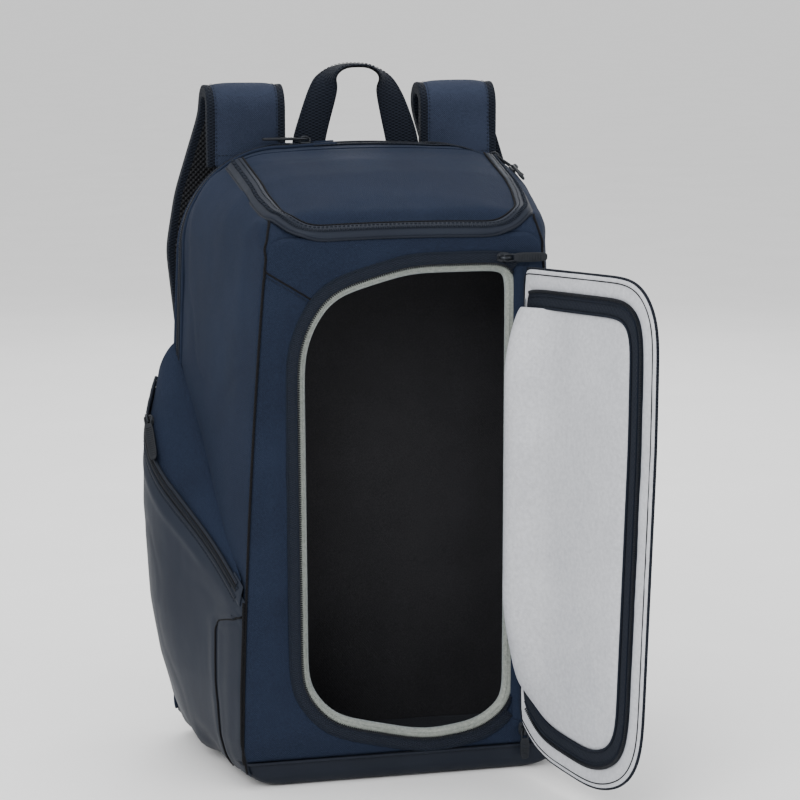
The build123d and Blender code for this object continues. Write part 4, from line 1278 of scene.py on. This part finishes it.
def door_hinge():
    """Strip of cloth that bends between the bag and the door."""
    plan = [(88.6, -88.8), (90.2, -91.6), (92.2, -93.6), (94.0, -95.4), (95.0, -97.0)]
    plan += [tuple(door_at(u, w, 0)[:2]) for u, w in ((2.2, 0.2), (4.5, 0.8), (7.0, 1.2))]
    plan = smooth_curve(plan, 18)
    points = np.array([[[x + 0.25 * fbm(x, y, z, 14, 3.0), y, z] for z in np.linspace(44, 420, 110)] for x,
                       y in plan])
    piece = thick_grid("door_hinge_cloth", points, 1.0, NAVY, offset=0.0)
    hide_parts("door_hinge_tape")
    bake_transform(piece)


door()
door_hinge()


# ------------------------------------------------------------------ handle and straps
def ribbon(path, normals, width, thickness, lift=0.0):
    """Verts and faces of a flat ribbon with rounded edges and a width that may vary."""
    _, side, normal = path_frames(path, normals)
    width = np.broadcast_to(width, len(path))
    shape = np.array([(-1, 0.5), (-0.94, 0.05), (0, -0.0), (0.94, 0.05), (1, 0.5), (0.94, 0.95), (0, 1.03),
                      (-0.94, 0.95)])
    rings = (path[:, None, :] + side[:, None, :] * (shape[None, :, :1] * width[:, None, None] / 2)
             + normal[:, None, :] * (lift + shape[None, :, 1:] * thickness))
    return rings.reshape(-1, 3), tube_faces(*rings.shape[:2])


def handle():
    """Webbing loop: flat to the front at its ends, turned edge-on at the top, with a dark mesh backing under it that
    paints the shade on the loop's underside.
    """
    knots = [(-41, 87, 490), (-40, 87, 507), (-34.5, 87, 528), (-27.5, 87, 549), (-21.5, 87, 563),
             (-12, 87, 569.5), (0.5, 87, 571)]
    left = np.array(knots, float)
    right = left[::-1][1:] * [-1, 1, 1] + [1, 0, 0]
    path = smooth_curve(np.vstack([left, right]), 130)
    share = np.abs(np.linspace(-1, 1, 130))
    turn = smooth_step((share - 0.04) / 0.72)
    sign = np.sign(np.linspace(-1, 1, 130))
    normals = np.column_stack([sign * 0.25 * (1 - turn) * share, -turn, (1 - turn) + 0.02])
    width = 25.0 + 4.5 * smooth_step((share - 0.3) / 0.7)
    # The dark backing just under the webbing is painted shade for the loop's underside
    for name, material, thick, lift in (("handle_webbing", WEBBING, 1.8, 0.0),
                                        ("handle_painted_shade_backing", MESH, 1.3, -1.4)):
        verts, faces = ribbon(path, normals, width - (0 if lift == 0 else 1.5), thick, lift)
        piece = soften(make_object(name, verts, faces, material))
        if lift == 0:
            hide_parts("grab_handle")
        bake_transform(piece)
    threads = []
    for shift in (-1, 1):
        _, side, normal = path_frames(path, normals)
        line = path + side * (shift * (width[:, None] / 2 - 2.2)) + normal * 1.9
        threads.append(stitch_row(line, normal, -0.1))
    piece = make_object("handle_stitches", *merge(threads), THREAD)
    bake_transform(piece)


STRAP_MID_Y, STRAP_TOP, STRAP_RADIUS = 110.0, 536.0, 14.2
STRAP_SEAM_Z = 497.0
STRAP_TAIL_X, STRAP_TAIL_Y = 115.0, 130.8
STRAP_EDGES = {"z": [172, 240, 340, 415, 462, 532], "outer": [131, 136, 149, 157, 149, 127],
               "inner": [99, 92, 87, 88, 80, 59]}


def strap_line(count=150):
    """Middle of a strap: place in y and z, outward direction, and its inner and outer edges in x."""
    turn = np.linspace(math.pi, 0, 40)
    leg = [(STRAP_MID_Y - STRAP_RADIUS - 1.5, 486), (STRAP_MID_Y - STRAP_RADIUS, 505),
           (STRAP_MID_Y - STRAP_RADIUS, 530)]
    bend = [(STRAP_MID_Y + STRAP_RADIUS * math.cos(a), STRAP_TOP + STRAP_RADIUS * math.sin(a)) for a in turn]
    run = [(STRAP_MID_Y + STRAP_RADIUS, z) for z in (520, 440, 360, 280, 210, 174)]
    line = resample(np.array(leg + bend + run), count)
    tangent = np.gradient(line, axis=0)
    tangent /= np.linalg.norm(tangent, axis=1)[:, None]
    out = np.column_stack([-tangent[:, 1], tangent[:, 0]])
    rear = smooth_step((line[:, 0] - STRAP_MID_Y + 4) / 14)
    inner = np.interp(line[:, 1], STRAP_EDGES["z"], STRAP_EDGES["inner"]) * rear + 59 * (1 - rear)
    outer = np.interp(line[:, 1], STRAP_EDGES["z"], STRAP_EDGES["outer"]) * rear + 126 * (1 - rear)
    relax(inner, 10)
    relax(outer, 10)
    return line, out, inner, outer


def strap_cloth(sign, line, out, inner, outer, top, low, crown, margin=0.0, columns=19, seed=0.0):
    """Closed soft layer of a strap between two heights off its middle, thinner at its edges."""
    t = np.linspace(-1, 1, columns)
    edge = 1 - np.abs(t) ** 4
    mid, half = (inner + outer) / 2, (outer - inner) / 2 - margin
    rings = []
    for k in range(len(line)):
        ring = []
        for side in (1, -1):
            for value, round_off in (zip(t, edge) if side > 0 else zip(t[::-1], edge[::-1])):
                x = mid[k] + half[k] * value
                wave = 0.45 * fbm(x, line[k, 0], line[k, 1], 38, seed, 2)
                height = (top + low) / 2 + side * (top - low) / 2 * (0.55 + 0.45 * round_off)
                height += (crown * round_off + wave) if side * crown > 0 else 0.0
                ring.append((sign * x, line[k, 0] + out[k, 0] * height, line[k, 1] + out[k, 1] * height))
        rings.append(ring)
    rings = np.array(rings)
    faces = tube_faces(*rings.shape[:2])
    if sign < 0:
        faces = [face[::-1] for face in faces]
    return rings.reshape(-1, 3), faces


def strap_piece(name, verts, faces, material, side, body_slot, nodes=(), padded=None):
    """Piece of a strap, smoothed by subdivision and fixed in place."""
    piece = soften(make_object(name, verts, faces, material))
    if nodes:
        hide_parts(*nodes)
    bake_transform(piece)
    return piece


def strap(side, sign):
    """Padded shoulder strap: woven face, open mesh inside, bound and stitched edges."""
    line, out, inner, outer = strap_line()
    face = strap_cloth(sign, line, out, inner, outer, 5.0, -1.5, 1.6, 3.0, seed=14.0 + sign)
    # The pad's face takes the lighter navy copy: painted light on the strap
    strap_piece(f"strap_pad_cloth_{side}", *face, STRAP_CLOTH_PAINTED_LIGHT, side, "navy_fabric", [f"strap_pad_{side}"],
                0.8)
    back = strap_cloth(sign, line, out, inner, outer, -1.5, -5.0, -0.8, 3.2, seed=18.0 + sign)
    strap_piece(f"strap_mesh_cloth_{side}", *back, MESH, side, "air_mesh", [f"strap_mesh_{side}"], 0.6)
    out3 = np.column_stack([np.zeros(len(line)), out])
    parts, threads = [], []
    for edge_x, inward in ((inner, 1), (outer, -1)):
        path = np.column_stack([sign * (edge_x + inward * 4.6), line])
        shape = [(-4.6, -3.6), (-4.0, -4.4), (4.0, -5.4), (4.6, -4.8), (4.9, 4.6), (4.2, 5.6), (-4.0, 4.4),
                 (-4.8, 3.4)]
        flip = -inward * sign
        profile = [(u * -flip, v) for u, v in shape] if flip < 0 else [(u * -flip, v) for u, v in shape][::-1]
        parts.append(sweep(path, out3, profile))
        stitched = np.column_stack([sign * (edge_x + inward * 7.6), line]) + out3 * 5.5
        threads.append(stitch_row(stitched, out3, -0.1))
    strap_piece(f"strap_binding_{side}", *merge(parts), WEBBING, side, "webbing")
    row = np.array([[sign * x, STRAP_MID_Y - STRAP_RADIUS - 6.5, STRAP_SEAM_Z]
                    for x in np.linspace(64, 121, 24)])
    threads.append(stitch_row(row, (0, -1, 0)))
    strap_piece(f"strap_stitches_{side}", *merge(threads), THREAD, side, "navy_fabric")
    # end patch, loop and webbing
    tail_x = STRAP_TAIL_X * sign
    patch = [(tail_x, STRAP_TAIL_Y, z) for z in np.linspace(206, 171, 14)]
    verts, faces = ribbon(np.array(patch), (0, 1, 0), 24.0, 1.4)
    end_patch = make_object(f"strap_end_patch_{side}", verts, faces, WEBBING)
    place(end_patch, f"strap_{side}", "webbing")
    loop = [(tail_x, 125.2, 180), (tail_x, 125.4, 172), (tail_x, 126.6, 165), (tail_x, 125.6, 161.4),
            (tail_x, 124, 160.4),
            (tail_x, 122.4, 161.4), (tail_x, 121.4, 165), (tail_x, 122.6, 172), (tail_x, 122.8, 180)]
    path = smooth_curve(loop, 40)
    centre = np.array([tail_x, 124.0, 0])
    normals = path - centre
    normals[:, 2] = path[:, 2] - 165.0
    normals[:, 0] = 0
    normals[:, 2] = np.minimum(normals[:, 2], 0)
    verts, faces = ribbon(path, normals, 22.0, 1.1, -0.4)
    place(make_object(f"lock_loop_webbing_{side}", verts, faces, WEBBING), f"strap_{side}", "webbing",
          f"lock_loop_{side}")
    knots = [(122 * sign, 88.6, 44), (122 * sign, 89.4, 58), (121.5 * sign, 95, 71), (120 * sign, 108, 84),
             (118 * sign, 119, 97),
             (116 * sign, 124.6, 112), (115 * sign, 125.0, 126), (115 * sign, 125.0, 134)]
    path = smooth_curve(knots, 60)
    verts, faces = ribbon(path, (0, 0.8, -0.5), 24.0, 1.6)
    piece = make_object(f"lower_strap_{side}", verts, faces, WEBBING)
    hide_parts(f"lower_webbing_{side}")
    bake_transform(piece)
    anchor = np.array([[[sign * (154 - 38 * u), 86.4 + 0.3 * math.sin(9 * u),
                         (30 + 10 * u) * (1 - v) + (76 - 10 * u) * v]
                        for v in np.linspace(0, 1, 10)] for u in np.linspace(0, 1, 12)])
    tab = thick_grid(f"strap_anchor_cloth_{side}", anchor, 1.6, NAVY, flip=sign < 0, offset=0.0)
    place(tab, "bag", "navy_fabric", f"strap_anchor_{side}")
    rows = [[(sign * x, 90.4, z) for z in np.linspace(44, 58, 8)] for x in (113.5, 130.5)]
    threads = [stitch_row(np.array(row), (0, 1, 0)) for row in rows]
    place(make_object(f"strap_anchor_stitches_{side}", *merge(threads), THREAD), "bag", "webbing")


def smooth_pad(name, width, height, x_mid, z_mid, radius, thick, channels):
    """Foam pad under mesh cloth on the bag's back: blown up by cloth pressure, then sewn with channels."""
    half_x, half_z = width / 2 - 1.5, height / 2 - 1.5
    corners = [(-half_x, -half_z), (half_x, -half_z), (half_x, half_z), (-half_x, half_z)]
    ring = resample(round_corners(corners, [radius] * 4), 121)[:-1]
    levels = [(1.0, 0.2), (1.0, 2.0), (0.985, thick * 0.55), (0.95, thick * 0.8), (0.88, thick * 0.92)]
    rows = [[(x_mid + x * s, BACK_Y + h, z_mid + z * s) for x, z in ring] for s, h in levels]
    for s in (0.75, 0.6, 0.45, 0.3, 0.15, 0.03):
        rows.append([(x_mid + x * s, BACK_Y + thick * 0.95, z_mid + z * s) for x, z in ring])
    rows = np.array(rows)
    piece = make_object(name, rows.reshape(-1, 3), tube_faces(*rows.shape[:2]), MESH)
    blow_up(piece, 5.0, 2.2, 3.5)
    mesh = piece.data
    for vertex in mesh.vertices:
        x, y, z = vertex.co.x / MM - x_mid, vertex.co.y / MM, vertex.co.z / MM - z_mid
        if y < BACK_Y + 1.0:
            vertex.co.y = (BACK_Y + 0.3) * MM
            continue
        near = min([abs(z * a + x * b - c) for a, b, c in channels] + [99.0])
        vertex.co.y -= 3.4 * math.exp(-(near / 3.2) ** 2) * MM * smooth_step((y - BACK_Y - 2) / 4)
    return soften(piece)


def blow_up(piece, voxel, pressure, cap):
    """Remesh a pad and swell it by cloth pressure, moving no point by more than cap millimetres."""
    remesh = piece.modifiers.new("remesh", "REMESH")
    remesh.mode, remesh.voxel_size = "VOXEL", voxel * MM
    apply_modifiers(piece)
    for polygon in piece.data.polygons:
        polygon.use_smooth = True
    rest = np.array([v.co for v in piece.data.vertices])
    held = piece.vertex_groups.new(name="held")
    held.add([v.index for v in piece.data.vertices if v.co.y < (BACK_Y + 1.5) * MM], 1.0, "REPLACE")
    cloth_sim = piece.modifiers.new("cloth", "CLOTH")
    settings = cloth_sim.settings
    settings.quality, settings.mass = 6, 0.3
    settings.use_pressure, settings.uniform_pressure_force = True, pressure
    settings.vertex_group_mass = "held"
    settings.effector_weights.gravity = 0.0
    cloth_sim.point_cache.frame_start, cloth_sim.point_cache.frame_end = 1, 20
    scene = bpy.context.scene
    for number in range(1, 21):
        scene.frame_set(number)
    blown = piece.evaluated_get(bpy.context.evaluated_depsgraph_get())
    moved = np.array([v.co for v in blown.data.vertices]) - rest
    length = np.linalg.norm(moved, axis=1)[:, None] + 1e-9
    moved *= np.minimum(1.0, cap * MM / length)
    piece.modifiers.remove(cloth_sim)
    piece.vertex_groups.clear()
    for vertex, place_at in zip(piece.data.vertices, rest + moved):
        vertex.co = place_at
    scene.frame_set(1)


def apply_modifiers(piece):
    """Bake an object's modifiers into its mesh."""
    bpy.context.view_layer.update()
    baked = bpy.data.meshes.new_from_object(piece.evaluated_get(bpy.context.evaluated_depsgraph_get()))
    piece.modifiers.clear()
    piece.data = baked


# Name, CAD node, width, height, middle in x and z, corner radius; channels are lines a z + b x = c
PAD_THICKNESS = 8.5
ACROSS, UPRIGHT = [(1, 0, 75), (1, 0, 0), (1, 0, -75)], [(0, 1, 45), (0, 1, -45)]
BACK_PADS = [
    ("back_pad_mesh_left", "back_pad_left", 92, 290, -62, 300, 30, ACROSS),
    ("back_pad_mesh_right", "back_pad_right", 92, 290, 62, 300, 30, ACROSS),
    ("lumbar_pad_mesh", "lumbar_pad", 180, 84, 0, 100, 26, UPRIGHT),
]


def back_pads():
    """Two long pads, the lumbar pad and the yoke patch."""
    rims = []
    for name, node, w, h, x_mid, z_mid, r, channels in BACK_PADS:
        pad = smooth_pad(name, w, h, x_mid, z_mid, r, PAD_THICKNESS, channels)
        place(pad, "bag", "air_mesh", node)
        corners = [(-w / 2, -h / 2), (w / 2, -h / 2), (w / 2, h / 2), (-w / 2, h / 2)]
        ring = resample(round_corners(corners, [r] * 4), 161)[:-1]
        path = np.array([[x_mid + x, BACK_Y + 1.0, z_mid + z] for x, z in ring])
        rims.append(sweep(path, (0, 1, 0), round_profile(1.8), True))
    place(make_object("back_pad_piping", *merge(rims), NAVY), "bag", "navy_fabric")
    yoke = np.array([[[x, 86.0 + 0.3 * fbm(x, 0, z, 30, 6.0), z] for x in np.linspace(-105, 105, 50)]
                     for z in np.linspace(453, 491.5, 14)])
    place(thick_grid("yoke_cloth", sewn(yoke, 0.5, 8, 0.3, 0.2, 50.0, (0, 0, 250)), 1.2, NAVY, flip=True),
          "bag", "navy_fabric", "yoke")
    rows = [np.array([[x, 87.2, z] for x in np.linspace(-102, 102, 80)]) for z in (456.0, 488.5)]
    threads = [stitch_row(row, (0, 1, 0)) for row in rows]
    place(make_object("yoke_stitches", *merge(threads), THREAD), "bag", "navy_fabric")


handle()
for strap_side, strap_sign in (("left", -1), ("right", 1)):
    strap(strap_side, strap_sign)
back_pads()


# ------------------------------------------------------------------ zip sliders and hardware
TAPE_TOP = 1.5
PIN_HEIGHT = 5.6
SLIDERS = {
    "door_top": ((80, -92, 427), (1, 0, 0), (0, -1, 0), 32),
    "door_bottom": ((99, -92, 36), (0, 0, -1), (0, -1, 0), 22),
    "rear_left": ((-46, 73.5, 504), (-1, 0, 0), (0, 0, 1), 34),
    "rear_right": ((116.6, 73.5, 488.2), (0.81, 0, -0.586), (0.586, 0, 0.81), 28),
    "lid": ((123.5, 42, 481.5), (-0.046, -0.963, -0.263), (0.69, -0.22, 0.69), 24),
    "side_left": ((-184.5, 48, 279.5), (0, -0.765, -0.644), (-0.45, -0.575, 0.683), 42),
    "side_right": ((184.5, 48, 279.5), (0, -0.765, -0.644), (0.45, -0.575, 0.683), 42),
}


def stack(outlines):
    """Verts and faces of a solid through outlines (points of x, y) at heights, closed at both ends."""
    verts = [(x, y, height) for points, height in outlines for x, y in points]
    return np.array(verts, float), tube_faces(len(outlines), len(outlines[0][0]))


def pebble(length, width, low, high, power=3.0, x_mid=0.0, taper=0.0, edge=0.6, count=40):
    """Solid with a rounded plan and softened edges; taper narrows its far end."""
    angles = np.linspace(0, 2 * math.pi, count, endpoint=False)
    plan = np.array([(abs(math.cos(a)) ** (2 / power) * math.copysign(1, math.cos(a)),
                      abs(math.sin(a)) ** (2 / power) * math.copysign(1, math.sin(a))) for a in angles])
    out = []
    for share, shrink in ((0.0, edge), (0.12, edge * 0.3), (0.3, 0.0), (0.7, 0.0), (0.88, edge * 0.3),
                          (1.0, edge)):
        x = plan[:, 0] * (length / 2 - shrink)
        y = plan[:, 1] * (width / 2 - shrink) * (1 - taper * (plan[:, 0] + 1) / 2)
        out.append((np.column_stack([x + x_mid, y]), low + (high - low) * share))
    return stack(out)


def local_frame(seat, along, normal):
    """Origin and axes of a slider: along its pull, across, and out of the zip."""
    x = np.array(along, float) / np.linalg.norm(along)
    z = np.array(normal, float)
    z = z - x * (z @ x)
    z /= np.linalg.norm(z)
    return np.array(seat, float) + z * TAPE_TOP, x, np.cross(z, x), z


def sent(part, frame_axes):
    """Verts and faces moved from a slider's own frame to the bag's."""
    origin, x, y, z = frame_axes
    verts, faces = part
    return origin + verts[:, :1] * x + verts[:, 1:2] * y + verts[:, 2:] * z, faces


def slider(name, seat, along, normal, pull_length):
    """Slider body with its bridge, and the pull: a wire link and a ribbed tab."""
    axes = local_frame(seat, along, normal)
    body = [pebble(12.0, 8.4, 0.0, 1.3, 2.6, taper=0.12), pebble(10.5, 7.4, 1.4, 3.0, 2.4, taper=0.12)]
    bridge = np.array([(-4.2, 0, 2.6), (-4.0, 0, 5.0), (-2.2, 0, 6.7), (0, 0, 7.1), (2.2, 0, 6.7),
                       (4.0, 0, 5.0), (4.2, 0, 2.6)])
    body.append(sweep(smooth_curve(bridge, 22), (0, 1, 0),
                      [(-0.8, -1.1), (0.8, -1.1), (1.0, 0), (0.8, 1.1), (-0.8, 1.1), (-1.0, 0)]))
    piece = make_object(f"{name}_slider_body", *sent(merge(body), axes), METAL)
    place(piece, f"{name}_slider", "slider_metal", f"{name}_slider")
    wire = [(-1.4, 2.3), (1.0, 2.5), (5.0, 2.6), (9.0, 2.4), (10.4, 1.2), (10.4, -1.2), (9.0, -2.4),
            (5.0, -2.6), (1.0, -2.5), (-1.4, -2.3)]
    path = np.array([(x, y, PIN_HEIGHT) for x, y in resample(round_corners(wire, [1.4] * 10), 49)[:-1]])
    link = sweep(path, (0, 0, 1), round_profile(0.75), True)
    place(make_object(f"{name}_pull_link", *sent(link, axes), METAL), f"{name}_pull", "slider_metal",
          f"{name}_pull")
    start, end = 6.5, pull_length + 2.4
    tab = [pebble(end - start, 8.0, PIN_HEIGHT - 1.0, PIN_HEIGHT + 1.0, 4.2, (start + end) / 2, 0.10)]
    for x in np.arange(start + 5.0, end - 3.5, 2.2):
        tab.append(pebble(1.0, 5.6, PIN_HEIGHT + 0.7, PIN_HEIGHT + 1.35, 3.0, x, edge=0.2, count=14))
    place(make_object(f"{name}_pull_tab", *sent(merge(tab), axes), RUBBER_PULL), f"{name}_pull",
          "dark_plastic")


def hardware():
    """Materials of the CAD pieces whose own shape is right."""
    for name, material in (("ladder_lock_left", PLASTIC), ("ladder_lock_right", PLASTIC),
                           ("base_board", BOARD), ("back_board", BOARD)):
        node = NODES[name]
        node.data.materials.clear()
        node.data.materials.append(material)
        if name.startswith("ladder"):
            bevel = node.modifiers.new("soft_edges", "BEVEL")
            bevel.width, bevel.segments, bevel.limit_method = 0.5 * MM, 2, "ANGLE"


for slider_name, (slider_seat, slider_along, slider_normal, slider_pull) in SLIDERS.items():
    slider(slider_name, slider_seat, slider_along, slider_normal, slider_pull)
hardware()


# ------------------------------------------------------------------ studio, in metres
FLOOR_RADIUS, FLOOR_SIDES = 60.0, 64


def area_light(name, place_at, aim, size, power):
    """Soft square light aimed at a point."""
    data = bpy.data.lights.new(name, "AREA")
    data.size, data.energy = size, power
    light = bpy.data.objects.new(name, data)
    light.location = place_at
    light.rotation_euler = (Vector(aim) - Vector(place_at)).to_track_quat("-Z", "Y").to_euler()
    bpy.context.scene.collection.objects.link(light)


def studio():
    """Wide pale floor, white world and soft lights."""
    turn = np.linspace(0, 2 * math.pi, FLOOR_SIDES + 1)[:-1]
    verts = [(0.0, 0.0, 0.0)] + [(FLOOR_RADIUS * math.cos(a), FLOOR_RADIUS * math.sin(a), 0.0) for a in turn]
    faces = [(0, 1 + k, 1 + (k + 1) % FLOOR_SIDES) for k in range(FLOOR_SIDES)]
    n = Nodes("studio_floor")
    n.finish(n.ramp(n.noise(6.0), [(0.3, (0.90, 0.90, 0.90)), (0.7, (0.93, 0.93, 0.93))]), Roughness=0.7)
    floor = make_object("studio_floor", np.array(verts) / MM, faces, n.material)
    world = bpy.data.worlds.new("studio_world")
    world.use_nodes = True
    background = world.node_tree.nodes["Background"]
    background.inputs["Color"].default_value = (1.0, 1.0, 1.0, 1.0)
    background.inputs["Strength"].default_value = 1.05
    bpy.context.scene.world = world
    middle = (0.0, 0.0, 0.28)
    area_light("key_light", (-1.3, -1.9, 1.7), middle, 1.4, 46.0)
    area_light("fill_light", (1.7, -1.7, 0.9), middle, 1.4, 16.0)
    area_light("top_light", (0.0, 0.3, 2.2), middle, 1.6, 26.0)
    area_light("back_light", (0.6, 2.0, 1.4), middle, 1.2, 12.0)


def camera():
    """Camera at the front, a little to the left and above."""
    data = bpy.data.cameras.new("camera")
    data.lens, data.sensor_width = 118.8, 36.0
    eye, target = Vector((-0.506, -2.102, 0.680)), Vector((0.018, 0.0, 0.298))
    piece = bpy.data.objects.new("camera", data)
    piece.location = eye
    piece.rotation_euler = (target - eye).to_track_quat("-Z", "Y").to_euler()
    bpy.context.scene.collection.objects.link(piece)
    bpy.context.scene.camera = piece


studio()
camera()
bpy.context.view_layer.update()
